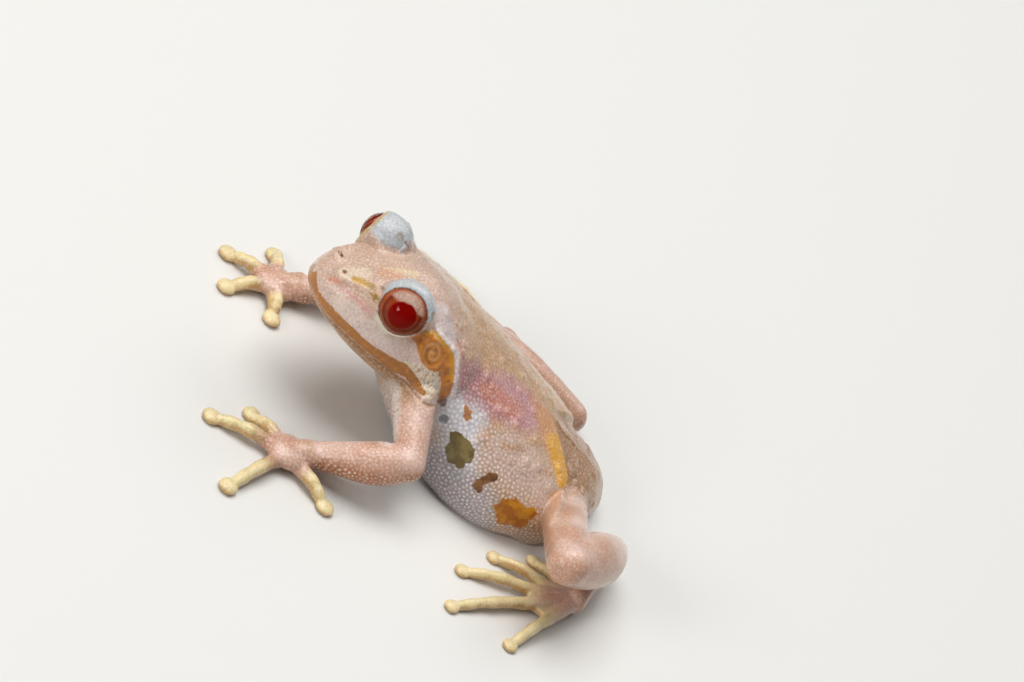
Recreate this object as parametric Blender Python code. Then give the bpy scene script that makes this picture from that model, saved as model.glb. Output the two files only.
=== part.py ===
"""A Pacific tree frog at life size, a still model.

It sits on its hands, feet and rump, the fore part raised on the arms and the head turned a
little to its left. It faces -Y, its left side is +X, and the floor is at z = 0.
The body is modelled whole, in millimetres, then parted with thin cuts and turned to metres.
"""
import math

import bpy
import bmesh
import numpy as np
from mathutils import Matrix, Vector
from mathutils.bvhtree import BVHTree

MM = 0.001

GAP = 0.3               # between any two pieces
VOXEL = 0.21            # grid on which the lofted shapes are fused
RING = 28               # points round a loft or a limb
DIGIT_RING = 12
BODY_STEPS = 4          # rings between two stations of head or trunk
LIMB_STEPS = 5
DIGIT_STEPS = 3
BODY_TRIANGLES = 10500  # the whole skin, before the cuts

# The head, in its own frame: forward, to the frog's left, up, from the point between the eyes.
MID_EYE = Vector((0.0, 0.0, 13.76))
HEAD_FORWARD = Vector((0.165, -0.985, -0.086)).normalized()
HEAD_LEFT = Vector((0.984, 0.159, 0.064))
EYE_SPACING = 8.8
EYE_RADIUS = 2.2
LID_THICKNESS = 0.32
APERTURE_ANGLE = math.radians(60)
EYE_AXIS = (0.30, 0.90, 0.30)       # where the left eye looks
NOSTRIL = (5.2, 1.45, 0.0)
NOSTRIL_RADIUS = 0.26
NOSTRIL_SWELLING = (0.8, 0.65, 0.6)
NOSTRIL_SINK = 0.5                  # how far the middle of the swelling lies below the nostril
BROW_RADIUS = 0.5
EAR_FOLD_RADII = (0.4, 0.5, 0.5, 0.45)
EAR = (-3.75, -2.55)                # forward and up
EAR_RADIUS = 1.12
EAR_RIM = 0.17
MOUTH_GROOVE = 0.2
MOUTH_MIDDLE = -0.5                 # the mouth line is a bow about this place along the head
MOUTH_TURN = math.radians(123)      # from the snout to each corner of the mouth
MOUTH_STEPS = 13
MOUTH_LEVEL = -5.12
MOUTH_SLOPE = 0.25
HALF_HEAD = 6.4

# forward, half width, top, bottom, level of the widest place, squareness of the upper half
HEAD_STATIONS = (
    (7.0, 0.25, -1.9, -2.5, -2.2, 2.2),
    (6.7, 1.15, -1.3, -3.2, -2.35, 2.4),
    (6.0, 2.35, -0.85, -4.0, -2.9, 2.6),
    (5.0, 3.35, -0.4, -4.75, -3.5, 2.9),
    (3.5, 4.4, 0.05, -5.6, -4.05, 3.0),
    (2.0, 5.15, 0.45, -6.35, -4.55, 2.9),
    (0.0, 5.85, 0.8, -7.2, -5.1, 2.6),
    (-2.0, 6.35, 0.95, -8.1, -5.55, 2.3),
    (-4.0, 6.6, 0.7, -8.9, -5.9, 2.15),
    (-6.0, 6.4, -0.3, -9.2, -6.1, 2.05),
    (-8.0, 5.7, -1.65, -8.9, -5.8, 2.0),
    (-9.5, 4.5, -2.8, -8.0, -5.6, 2.0),
)

# The trunk: the line of the back starts above the neck and runs back and down.
BACK_START = Vector((-0.94, 5.95, 13.6))
TRUNK_BACKWARD = Vector((0.0, 0.907, -0.4203)).normalized()
TRUNK_LEFT = Vector((0.9915, -0.045, -0.0995))

# along the back, half width, top and depth from the line of the back, squareness of the belly,
# and how far the flanks lean to the left
TRUNK_STATIONS = (
    (-4.0, 4.8, -0.8, 7.0, 2.1, 0.0),
    (0.0, 5.9, -0.1, 8.6, 2.2, 0.0),
    (4.0, 6.8, 0.1, 10.1, 2.3, 0.0),
    (8.0, 7.8, 0.2, 10.8, 2.5, 0.3),
    (12.0, 8.8, 0.35, 9.75, 3.3, 1.2),
    (15.5, 8.8, 0.5, 8.1, 3.7, 1.8),
    (18.5, 8.0, 0.6, 6.7, 3.3, 1.9),
    (21.0, 6.9, 0.6, 6.2, 3.4, 1.9),
    (23.0, 5.0, 0.2, 5.0, 2.8, 0.9),
    (24.8, 3.0, -0.5, 3.6, 2.2, 0.0),
    (25.9, 1.3, -1.3, 2.9, 2.1, 0.0),
)

# Joints, left and right, from the floor below the point between the eyes.
SHOULDER = {"left": (5.2, 5.9, 7.4), "right": (-6.3, 7.4, 8.5)}
ELBOW = {"left": (11.35, 7.0, 4.9), "right": (-12.4, 6.8, 5.0)}
WRIST = {"left": (11.2, 0.1, 1.6), "right": (-9.3, -1.5, 1.6)}
PALM = {"left": (11.9, -2.4, 1.05), "right": (-9.0, -4.3, 1.05)}
HIP = {"left": (2.4, 24.6, 2.4), "right": (-3.1, 25.2, 2.7)}
KNEE = {"left": (17.4, 21.4, 7.4), "right": (-14.0, 11.6, 2.3)}
HEEL = {"left": (6.8, 29.0, 2.6), "right": (-10.0, 25.8, 1.6)}
INSTEP = {"left": (13.2, 26.2, 1.05), "right": (-16.8, 19.2, 1.05)}

# Radii of the limbs at five places from the root to the end.
UPPER_ARM_RADII = (2.1, 1.85, 1.65, 1.5, 1.5)
FOREARM_RADII = (1.5, 1.85, 1.8, 1.5, 1.2)
THIGH_RADII = (1.9, 1.9, 1.95, 1.9, 1.85)
SHANK_RADII = (1.85, 2.3, 2.4, 2.0, 1.5)
TARSUS_RADII = (1.15, 1.0, 0.95, 1.0, 1.1)

# Tips of the fingers and toes on the floor, from the inner to the outer one.
FINGER_TIPS = {
    "left": ((8.5, -5.7), (11.1, -9.5), (18.7, -7.6), (15.6, 1.7)),
    "right": ((-5.0, -4.2), (-6.3, -8.8), (-10.8, -8.8), (-13.6, -4.2)),
}
TOE_TIPS = {
    "left": ((9.7, 22.6), (11.6, 18.6), (15.2, 15.4), (20.2, 14.4), (21.6, 20.2)),
    "right": ((-17.6, 14.4), (-19.0, 11.4), (-21.4, 8.6), (-24.2, 9.0), (-22.6, 12.8)),
}
PALM_RADII = (2.1, 1.9, 1.05)
WRIST_RADII = (1.2, 1.25, 1.05)
KNUCKLE_REACH = 1.5                 # from the middle of the palm to the root of each finger
KNUCKLE_HEIGHT = 0.85
KNUCKLE_RADII = (0.92, 0.82, 0.66)
SOLE_HEIGHT = 0.68
SOLE_RADII = (0.85, 0.7, 0.6)
FINGER_RADIUS = 0.6
TOE_RADIUS = 0.5
FINGER_DISC = (0.9, 0.48)          # radius and half thickness
TOE_DISC = (0.72, 0.4)
DIGIT_ARCH = 0.35
TOE_ROOT = 0.42                     # share of each toe that lies in the sole
WEB_FLOOR = 0.3                     # height of the web's lower side
WEB_THICKNESS = 0.6

# Where the arms and thighs are parted from the trunk, as a share of their length.
ARM_ROOT = {"left": 0.5, "right": 0.62}
THIGH_ROOT = {"left": 0.42, "right": 0.3}
KNEE_FOLD = {"left": 11.0, "right": 14.0}   # how far in from the knee thigh and shank are parted
HEEL_FOLD = 9.6
FOLD_BACK = 3.0                     # how far such a cut reaches beyond the joint
KNEE_FOLD_HEIGHT = 8.0
HEEL_FOLD_HEIGHT = 5.6
SHOULDER_CUT = 2.6                  # radii of the round cuts
ELBOW_CUT = 3.0
WRIST_CUT = 1.7
HIP_CUT = 3.8
ANKLE_SIZE = {"left": (5.8, 4.6), "right": (3.4, 3.4)}

# The right thigh lies along the flank, and a cut between them turns out from the thigh by this.
GROIN_TURN = (5.0, 0.0, 0.0)
GROIN_REACH = 11.0
GROIN_HEIGHT = 9.0

# The cut between head and trunk, and the one across the waist.
NECK = (-0.8, 7.1, 9.0)
NECK_NORMAL = (-0.05, 0.96, -0.27)
NECK_SIZE = (26.0, 18.0)
WAIST = (18.2, 0.0, -2.0)           # along the back, to the left and up from the line of the back
WAIST_SIZE = (24.0, 14.0)

# What lies below the floor level is cut away, which leaves the flats it sits on.
FLOOR_SINK = 0.12

SKIN = (0.70, 0.42, 0.30, 1.0)
BELLY = (0.66, 0.58, 0.60, 1.0)
DIGITS = (0.72, 0.52, 0.25, 1.0)
IRIS = (0.16, 0.02, 0.008, 1.0)


def clear_scene():
    for old in list(bpy.data.objects):
        bpy.data.objects.remove(old, do_unlink=True)


def material(name, colour, roughness):
    made = bpy.data.materials.new(name)
    made.use_nodes = True
    made.diffuse_color = colour
    shader = made.node_tree.nodes["Principled BSDF"]
    shader.inputs["Base Color"].default_value = colour
    shader.inputs["Roughness"].default_value = roughness
    shader.inputs["Metallic"].default_value = 0.0
    return made


def add_object(name, shape):
    mesh = bpy.data.meshes.new(name)
    shape.to_mesh(mesh)
    shape.free()
    made = bpy.data.objects.new(name, mesh)
    bpy.context.scene.collection.objects.link(made)
    return made


def frame_of(forward, left):
    """Forward, left and up, square to each other."""
    forward = Vector(forward).normalized()
    up = forward.cross(Vector(left)).normalized()
    if up.z < 0:
        up = -up
    side = (Vector(left) - forward * forward.dot(Vector(left))).normalized()
    return forward, side, up


HEAD_AXES = frame_of(HEAD_FORWARD, HEAD_LEFT)
TRUNK_AXES = frame_of(TRUNK_BACKWARD, TRUNK_LEFT)


def in_head(forward, left, up):
    return MID_EYE + HEAD_AXES[0] * forward + HEAD_AXES[1] * left + HEAD_AXES[2] * up


def eased(rows, steps):
    """Rows of numbers read off a smooth curve through the given ones."""
    rows = np.array(rows, float)
    padded = np.vstack([2 * rows[0] - rows[1], rows, 2 * rows[-1] - rows[-2]])
    made = []
    for i in range(len(rows) - 1):
        a, b, c, d = padded[i:i + 4]
        for t in np.arange(steps) / steps:
            made.append(
                0.5 * (2 * b + (c - a) * t + (2 * a - 5 * b + 4 * c - d) * t**2
                       + (3 * b - a - 3 * c + d) * t**3)
            )
    made.append(rows[-1])
    return made


def signed_power(value, power):
    return math.copysign(abs(value) ** power, value)


def section(centre, side, up, half_width, above, below, square=2.2, under=2.2):
    """A closed outline whose upper and lower halves differ in height and squareness."""
    points = []
    for k in range(RING):
        angle = math.tau * k / RING
        height, power = (above, square) if math.sin(angle) >= 0 else (below, under)
        across = half_width * signed_power(math.cos(angle), 2 / power)
        rise = height * signed_power(math.sin(angle), 2 / power)
        points.append(centre + side * across + up * rise)
    return points


def skin_rings(shape, rings):
    """A closed body over rings of equal count, its ends closed by a point each."""
    made = [[shape.verts.new(point) for point in ring] for ring in rings]
    for near, far in zip(made, made[1:]):
        count = len(near)
        for k in range(count):
            shape.faces.new((near[k], near[(k + 1) % count], far[(k + 1) % count], far[k]))
    for ring in (made[0], made[-1]):
        middle = sum((v.co for v in ring), Vector()) / len(ring)
        pole = shape.verts.new(middle)
        for k in range(len(ring)):
            shape.faces.new((ring[k], ring[(k + 1) % len(ring)], pole))


def limb(shape, points, radii, ring=RING, flat=1.0, steps=LIMB_STEPS):
    """A round-ended limb through the points, flattened in height by the given share."""
    rows = eased([(*p, r) for p, r in zip(points, radii)], steps)
    centres = [Vector(row[:3]) for row in rows]
    widths = [row[3] for row in rows]
    start = (centres[1] - centres[0]).normalized()
    end = (centres[-1] - centres[-2]).normalized()
    caps = [math.radians(a) for a in (75, 45, 20)]
    before = [(centres[0] - start * widths[0] * math.sin(a), widths[0] * math.cos(a)) for a in caps]
    after = [(centres[-1] + end * widths[-1] * math.sin(a), widths[-1] * math.cos(a))
             for a in reversed(caps)]
    stations = before + list(zip(centres, widths)) + after
    rings = []
    for i, (centre, radius) in enumerate(stations):
        ahead = stations[min(i + 1, len(stations) - 1)][0]
        behind = stations[max(i - 1, 0)][0]
        along = (ahead - behind).normalized()
        side = along.cross(Vector((0, 0, 1)))
        side = side.normalized() if side.length > 1e-4 else Vector((1, 0, 0))
        up = side.cross(along).normalized()
        rings.append([
            centre + side * radius * math.cos(math.tau * k / ring)
            + up * radius * flat * math.sin(math.tau * k / ring)
            for k in range(ring)
        ])
    skin_rings(shape, rings)


def ball(shape, centre, radii, axes=None, detail=3):
    turn = Matrix.Identity(3) if axes is None else Matrix(axes).transposed()
    place = Matrix.Translation(centre) @ turn.to_4x4() @ Matrix.Diagonal((*radii, 1.0))
    bmesh.ops.create_icosphere(shape, subdivisions=detail, radius=1.0, matrix=place)


def between(a, b, share):
    return Vector(a).lerp(Vector(b), share)


def bulge_head(shape):
    _, side, up = HEAD_AXES
    rings = []
    for along, half_width, top, bottom, widest, square in eased(HEAD_STATIONS, BODY_STEPS):
        centre = in_head(along, 0, widest)
        rings.append(section(centre, side, up, half_width, top - widest, widest - bottom, square))
    skin_rings(shape, rings)
    outer = EYE_RADIUS + GAP + LID_THICKNESS
    for sign in (1, -1):
        ball(shape, in_head(0, sign * EYE_SPACING / 2, 0), (outer,) * 3)
        swelling = in_head(NOSTRIL[0], sign * NOSTRIL[1], NOSTRIL[2] - NOSTRIL_SINK)
        ball(shape, swelling, NOSTRIL_SWELLING)
        brow = [in_head(4.6 - 0.8 * k, sign * (2.0 + 0.42 * k), -0.55 + 0.1 * k) for k in range(4)]
        limb(shape, brow, (BROW_RADIUS,) * 4, ring=DIGIT_RING)
        fold = [in_head(-1.8 - 1.15 * k, sign * (4.9 + 0.36 * k), -0.95 - 0.42 * k * k) for k in range(4)]
        limb(shape, fold, EAR_FOLD_RADII, ring=DIGIT_RING)


def bulge_trunk(shape):
    backward, side, up = TRUNK_AXES
    rings = []
    for along, half_width, top, depth, square, lean in eased(TRUNK_STATIONS, BODY_STEPS):
        middle = (top - depth) * 0.52
        centre = BACK_START + backward * along + side * lean + up * middle
        rings.append(section(centre, side, up, half_width, top - middle, middle + depth, 2.05, square))
    skin_rings(shape, rings)


def limb_rows(start, end, bow, count=5):
    """Points from start to end that bow to one side."""
    start, end, bow = Vector(start), Vector(end), Vector(bow)
    return [
        start.lerp(end, k / (count - 1)) + bow * math.sin(math.pi * k / (count - 1))
        for k in range(count)
    ]


def digit(shape, root, tip, radius, disc):
    """One finger or toe: a shaft that arches a little, knuckles and the round pad on the floor."""
    pad_radius, pad_height = disc
    root = Vector(root)
    end = Vector((*tip, pad_height - FLOOR_SINK))
    line = end - root
    neck = end - line.normalized() * pad_radius * 0.7
    points, radii = [], []
    for share, size in ((0, 1.2), (0.3, 1.0), (0.48, 1.16), (0.66, 0.95), (0.8, 1.05), (1, 0.82)):
        rise = DIGIT_ARCH * math.sin(math.pi * share)
        points.append(root.lerp(neck, share) + Vector((0, 0, rise)))
        radii.append(radius * size)
    limb(shape, points, radii, ring=DIGIT_RING, steps=DIGIT_STEPS)
    forward = Vector((line.x, line.y, 0)).normalized()
    axes = (forward, Vector((0, 0, 1)).cross(forward), Vector((0, 0, 1)))
    ball(shape, end, (pad_radius * 1.04, pad_radius, pad_height), axes, detail=2)


def hand(shape, side_name):
    wrist, palm = Vector(WRIST[side_name]), Vector(PALM[side_name])
    forward = Vector(((palm - wrist).x, (palm - wrist).y, 0)).normalized()
    across = Vector((0, 0, 1)).cross(forward)
    axes = (forward, across, Vector((0, 0, 1)))
    ball(shape, palm, PALM_RADII, axes)
    limb(shape, [wrist, between(wrist, palm, 0.5), palm], WRIST_RADII)
    for tip in FINGER_TIPS[side_name]:
        toward = (Vector((*tip, palm.z)) - palm).normalized()
        root = palm + toward * KNUCKLE_REACH
        root.z = KNUCKLE_HEIGHT
        digit(shape, root, tip, FINGER_RADIUS, FINGER_DISC)
        limb(shape, [palm, root, root + toward], KNUCKLE_RADII, ring=DIGIT_RING, flat=0.8)


def foot(shape, side_name):
    instep = Vector(INSTEP[side_name])
    roots = []
    for tip in TOE_TIPS[side_name]:
        root = instep.lerp(Vector((*tip, 0.0)), TOE_ROOT)
        root.z = SOLE_HEIGHT
        roots.append(root)
        bones = [instep, between(instep, root, 0.5), root]
        limb(shape, bones, SOLE_RADII, ring=DIGIT_RING, flat=0.9)
        digit(shape, root, tip, TOE_RADIUS, TOE_DISC)
    for first, second in zip(roots, roots[1:]):
        web(shape, instep, first, second)


def web(shape, instep, first, second):
    """The thin skin between two toes, hollowed along its free edge."""
    rings = []
    for share in (0.25, 0.5, 0.75, 0.95):
        a, b = instep.lerp(first, share), instep.lerp(second, share)
        middle = (a + b) / 2 - ((a + b) / 2 - instep).normalized() * 0.1
        ring = [a, middle, b]
        low = [Vector((p.x, p.y, WEB_FLOOR)) for p in ring]
        high = [Vector((p.x, p.y, WEB_FLOOR + WEB_THICKNESS)) for p in reversed(ring)]
        rings.append(low + high)
    skin_rings(shape, rings)


def bulge_limbs(shape):
    for name, sign in (("left", 1), ("right", -1)):
        limb(shape, limb_rows(SHOULDER[name], ELBOW[name], (0, 0, 0.2)), UPPER_ARM_RADII)
        limb(shape, limb_rows(ELBOW[name], WRIST[name], (sign * 0.35, 0, 0.1)), FOREARM_RADII)
        limb(shape, limb_rows(HIP[name], KNEE[name], (0, -0.4, 0.3)), THIGH_RADII)
        limb(shape, limb_rows(KNEE[name], HEEL[name], (0, 0.5, 0.1)), SHANK_RADII)
        limb(shape, limb_rows(HEEL[name], INSTEP[name], (0, 0, 0)), TARSUS_RADII)
        hand(shape, name)
        foot(shape, name)


def applied(piece):
    """The object's mesh with its modifiers worked in."""
    graph = bpy.context.evaluated_depsgraph_get()
    mesh = bpy.data.meshes.new_from_object(piece.evaluated_get(graph))
    piece.modifiers.clear()
    old = piece.data
    piece.data = mesh
    bpy.data.meshes.remove(old)
    return piece


def loose_bodies(shape):
    """The faces of each closed surface."""
    left = set(shape.faces)
    groups = []
    while left:
        stack = [left.pop()]
        group = list(stack)
        while stack:
            for edge in stack.pop().edges:
                for face in edge.link_faces:
                    if face in left:
                        left.discard(face)
                        stack.append(face)
                        group.append(face)
        groups.append(group)
    return groups


def largest_body(piece):
    """Only the largest closed surface is kept."""
    shape = bmesh.new()
    shape.from_mesh(piece.data)
    groups = loose_bodies(shape)
    groups.sort(key=len, reverse=True)
    for group in groups[1:]:
        bmesh.ops.delete(shape, geom=group, context="FACES")
    loose = [v for v in shape.verts if not v.link_faces]
    bmesh.ops.delete(shape, geom=loose, context="VERTS")
    shape.to_mesh(piece.data)
    shape.free()
    return piece


def soften(piece, spots, rounds):
    """Smooths the surface near the given spots, each a centre and a reach."""
    points = np.array([v.co for v in piece.data.vertices])
    weight = np.zeros(len(points))
    for centre, reach in spots:
        away = np.linalg.norm(points - np.array(centre), axis=1) / reach
        weight = np.maximum(weight, np.clip(1.6 * (1 - away), 0, 1))
    group = piece.vertex_groups.new(name="soft")
    for level in range(1, 11):
        picked = np.nonzero(np.round(weight * 10) == level)[0]
        group.add([int(i) for i in picked], level / 10, "REPLACE")
    smooth = piece.modifiers.new("Soften", "SMOOTH")
    smooth.factor = 0.5
    smooth.iterations = rounds
    smooth.vertex_group = group.name
    applied(piece)
    piece.vertex_groups.clear()
    return piece


def whole_skin():
    shape = bmesh.new()
    bulge_head(shape)
    bulge_trunk(shape)
    bulge_limbs(shape)
    bmesh.ops.recalc_face_normals(shape, faces=shape.faces)
    body = add_object("body", shape)
    remesh = body.modifiers.new("Fuse", "REMESH")
    remesh.mode = "VOXEL"
    remesh.voxel_size = VOXEL
    remesh.adaptivity = 0.0
    applied(body)
    largest_body(body)
    nape = [(in_head(-8.0, left, -3.0), 6.0) for left in (-5, -2.5, 0, 2.5, 5)]
    soften(body, nape, 40)
    spots = []
    for name in ("left", "right"):
        spots += [(SHOULDER[name], 4.6), (ELBOW[name], 2.6), (HIP[name], 5.2)]
        spots += [(HEEL[name], 2.2), (WRIST[name], 1.4)]
        sign = 1 if name == "left" else -1
        spots.append((in_head(3.0, sign * 3.0, -1.0), 2.6))
        spots.append((in_head(0.0, sign * 3.4, -1.6), 3.4))
    soften(body, spots, 12)
    everywhere = [((0, 12, 5), 500.0)]
    soften(body, everywhere, 2)
    fewer = body.modifiers.new("Fewer", "DECIMATE")
    fewer.ratio = min(1.0, BODY_TRIANGLES / (2 * len(body.data.polygons)))
    fewer.use_collapse_triangulate = True
    return applied(body)


def disc(name, centre, normal, radius, sides=24):
    """A plate as thick as the gap, square to the normal."""
    shape = bmesh.new()
    turn = Vector(normal).to_track_quat("Z", "Y").to_matrix().to_4x4()
    bmesh.ops.create_cone(
        shape, cap_ends=True, segments=sides, radius1=radius, radius2=radius, depth=GAP,
        matrix=Matrix.Translation(centre) @ turn,
    )
    return add_object(name, shape)


def plate(name, centre, normal, along, length, height):
    """A plate as thick as the gap whose length runs along one direction."""
    normal = Vector(normal).normalized()
    along = (Vector(along) - normal * normal.dot(Vector(along))).normalized()
    across = normal.cross(along)
    turn = Matrix((along, across, normal)).transposed().to_4x4()
    shape = bmesh.new()
    size = Matrix.Diagonal((length, height, GAP, 1.0))
    bmesh.ops.create_cube(shape, size=1.0, matrix=Matrix.Translation(centre) @ turn @ size)
    return add_object(name, shape)


def carve(piece, cutter, operation="DIFFERENCE"):
    tool = piece.modifiers.new("Carve", "BOOLEAN")
    tool.operation = operation
    tool.solver = "EXACT"
    tool.object = cutter
    applied(piece)
    bpy.data.objects.remove(cutter, do_unlink=True)
    return piece


def tree_of(piece):
    shape = bmesh.new()
    shape.from_mesh(piece.data)
    tree = BVHTree.FromBMesh(shape)
    shape.free()
    return tree


def on_skin(tree, inner, outer):
    """Where a line from inside leaves the skin, and the skin's direction there."""
    place, normal, _, _ = tree.ray_cast(inner, (outer - inner).normalized())
    return place, normal


def mouth_level(forward):
    """Height of the mouth line, in the head's frame, at a place along the head."""
    return MOUTH_LEVEL + MOUTH_SLOPE * (forward - MOUTH_MIDDLE)


def mouth_points(tree):
    """Along the skin from one corner of the mouth round the snout to the other."""
    points = []
    for k in range(-MOUTH_STEPS, MOUTH_STEPS + 1):
        turn = MOUTH_TURN * k / MOUTH_STEPS
        forward, left = math.cos(turn), math.sin(turn)
        level = mouth_level(MOUTH_MIDDLE + HALF_HEAD * forward)
        place, _ = on_skin(
            tree, in_head(MOUTH_MIDDLE, 0, level),
            in_head(MOUTH_MIDDLE + forward, left, level),
        )
        points.append(place)
    return points


def carve_face(body):
    tree = tree_of(body)
    shape = bmesh.new()
    points = mouth_points(tree)
    limb(shape, points, [MOUTH_GROOVE] * len(points), ring=6, steps=1)
    carve(body, closed(add_object("mouth_cut", shape)))
    for sign in (1, -1):
        centre = in_head(0, sign * EYE_SPACING / 2, 0)
        look = HEAD_AXES[0] * EYE_AXIS[0] + HEAD_AXES[1] * sign * EYE_AXIS[1] + HEAD_AXES[2] * EYE_AXIS[2]
        look.normalize()
        shape = bmesh.new()
        ball(shape, centre, (EYE_RADIUS + GAP,) * 3)
        carve(body, add_object("socket_cut", shape))
        shape = bmesh.new()
        reach = 4.0
        turn = look.to_track_quat("Z", "Y").to_matrix().to_4x4()
        bmesh.ops.create_cone(
            shape, cap_ends=True, segments=32, radius1=0.4, radius2=reach * math.tan(APERTURE_ANGLE),
            depth=reach, matrix=Matrix.Translation(centre + look * reach / 2) @ turn,
        )
        carve(body, closed(add_object("lid_cut", shape)))
        place, normal = on_skin(
            tree, in_head(EAR[0], 0, EAR[1]), in_head(EAR[0] + 0.3, sign * 12, EAR[1] + 0.6)
        )
        ring(body, place, normal)
        place, normal = on_skin(
            tree, in_head(NOSTRIL[0] - 0.6, sign * 0.8, NOSTRIL[2] - 1.2),
            in_head(NOSTRIL[0] + 3, sign * (NOSTRIL[1] + 3), NOSTRIL[2] + 4),
        )
        shape = bmesh.new()
        ball(shape, place, (NOSTRIL_RADIUS,) * 3, detail=1)
        carve(body, add_object("nostril_cut", shape))


def ring(body, place, normal):
    """The raised rim round the ear drum."""
    shape = bmesh.new()
    turn = Vector(normal).to_track_quat("Z", "Y").to_matrix().to_4x4()
    spot = Matrix.Translation(place) @ turn
    rings = []
    count = 20
    for k in range(count):
        angle = math.tau * k / count
        out = Vector((math.cos(angle), math.sin(angle), 0))
        hub = out * EAR_RADIUS
        rings.append([
            spot @ (hub + out * EAR_RIM * math.cos(a) + Vector((0, 0, EAR_RIM * math.sin(a))))
            for a in (math.tau * j / 6 for j in range(6))
        ])
    made = [[shape.verts.new(point) for point in row] for row in rings]
    for i in range(count):
        near, far = made[i], made[(i + 1) % count]
        for j in range(6):
            shape.faces.new((near[j], near[(j + 1) % 6], far[(j + 1) % 6], far[j]))
    carve(body, closed(add_object("ear_rim", shape)), "UNION")


def closed(piece):
    """Faces turned outwards."""
    shape = bmesh.new()
    shape.from_mesh(piece.data)
    bmesh.ops.recalc_face_normals(shape, faces=shape.faces)
    shape.to_mesh(piece.data)
    shape.free()
    return piece


def joint_cut(before, joint, after, radius):
    """A thin disc through a joint that halves the angle between its two bones."""
    before, joint, after = Vector(before), Vector(joint), Vector(after)
    first, second = (joint - before).normalized(), (after - joint).normalized()
    return disc("joint_cut", joint, first + second, radius)


def fold_cut(before, joint, after, reach, height):
    """A plate through a folded joint that halves its angle and parts its two bones."""
    before, joint, after = Vector(before), Vector(joint), Vector(after)
    first, second = (joint - before).normalized(), (after - joint).normalized()
    inward = (second - first).normalized()
    centre = joint + inward * (reach - FOLD_BACK) / 2
    return plate("fold_cut", centre, first + second, inward, reach + FOLD_BACK, height)


def part_limbs(body):
    cutters = []
    for name in ("left", "right"):
        shoulder, elbow, wrist = SHOULDER[name], ELBOW[name], WRIST[name]
        root = between(shoulder, elbow, ARM_ROOT[name])
        cutters.append(disc("cut", root, Vector(elbow) - Vector(shoulder), SHOULDER_CUT))
        cutters.append(joint_cut(shoulder, elbow, wrist, ELBOW_CUT))
        cutters.append(disc("cut", Vector(wrist), Vector(PALM[name]) - Vector(elbow), WRIST_CUT))
        hip, knee, heel, instep = HIP[name], KNEE[name], HEEL[name], INSTEP[name]
        root = between(hip, knee, THIGH_ROOT[name])
        cutters.append(disc("cut", root, Vector(knee) - Vector(hip), HIP_CUT))
        cutters.append(fold_cut(hip, knee, heel, KNEE_FOLD[name], KNEE_FOLD_HEIGHT))
        cutters.append(fold_cut(knee, heel, instep, HEEL_FOLD, HEEL_FOLD_HEIGHT))
        line = Vector(instep) - Vector(heel)
        across = line.cross(Vector((0, 0, 1)))
        cutters.append(plate("cut", between(heel, instep, 0.8), line, across, *ANKLE_SIZE[name]))
    groin = between(HIP["right"], KNEE["right"], THIGH_ROOT["right"])
    forward = Vector(KNEE["right"]) - Vector(HIP["right"]) + Vector(GROIN_TURN)
    normal = forward.cross(Vector((0, 0, 1)))
    middle = groin + forward.normalized() * GROIN_REACH / 2
    cutters.append(plate("cut", middle, normal, forward, GROIN_REACH, GROIN_HEIGHT))
    for cutter in cutters:
        carve(body, cutter)


def part_trunk(body):
    """The cuts behind the head and across the waist, made when the limbs are off."""
    carve(body, plate("cut", NECK, NECK_NORMAL, (1, 0, 0), *NECK_SIZE))
    waist = BACK_START + sum((axis * step for axis, step in zip(TRUNK_AXES, WAIST)), Vector())
    carve(body, plate("cut", waist, TRUNK_AXES[0], TRUNK_AXES[1], *WAIST_SIZE))


def cut_floor(body):
    shape = bmesh.new()
    depth = 10.0
    bmesh.ops.create_cube(
        shape, matrix=Matrix.Translation((0, 10, -depth / 2)) @ Matrix.Diagonal((90, 90, depth, 1))
    )
    carve(body, add_object("floor_cut", shape))


def trunk_centres():
    """A place inside each node of head and trunk."""
    backward, _, up = TRUNK_AXES
    return {
        "head": in_head(0, 0, -4),
        "torso": BACK_START + backward * 9 - up * 5,
        "rump": BACK_START + backward * 22.5 - up * 3,
    }


def limb_centres():
    """A place inside each node of the limbs."""
    spots = {}
    for name in ("left", "right"):
        spots["upper_arm_" + name] = between(SHOULDER[name], ELBOW[name], 0.7)
        spots["forearm_" + name] = between(ELBOW[name], WRIST[name], 0.5)
        spots["hand_" + name] = Vector(PALM[name])
        spots["thigh_" + name] = between(HIP[name], KNEE[name], 0.65)
        spots["shank_" + name] = between(KNEE[name], HEEL[name], 0.5)
        spots["tarsus_" + name] = between(HEEL[name], INSTEP[name], 0.5)
        spots["foot_" + name] = between(INSTEP[name], (*TOE_TIPS[name][2], 0.6), 0.2)
    return spots


def split_nodes(body, spots):
    """One object for each loose body that holds one of the named places."""
    shape = bmesh.new()
    shape.from_mesh(body.data)
    made = {}
    for group in loose_bodies(shape):
        corners = sorted({v.index for face in group for v in face.verts})
        index = {v: i for i, v in enumerate(corners)}
        shape.verts.ensure_lookup_table()
        points = [shape.verts[v].co.copy() for v in corners]
        faces = [[index[v.index] for v in face.verts] for face in group]
        tree = BVHTree.FromPolygons(points, faces)
        for name in [name for name, spot in spots.items() if holds(tree, spot)]:
            made[name] = (points, faces)
    shape.free()
    bpy.data.objects.remove(body, do_unlink=True)
    for name, (points, faces) in made.items():
        mesh = bpy.data.meshes.new(name)
        mesh.from_pydata(points, [], faces)
        node = bpy.data.objects.new(name, mesh)
        bpy.context.scene.collection.objects.link(node)


def holds(tree, place):
    """Whether a closed surface has the place inside it."""
    heading = Vector((0.31, 0.17, 0.93)).normalized()
    crossings = 0
    start = Vector(place)
    while True:
        hit, _, _, _ = tree.ray_cast(start, heading)
        if hit is None:
            return crossings % 2 == 1
        crossings += 1
        start = hit + heading * 1e-4


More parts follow.
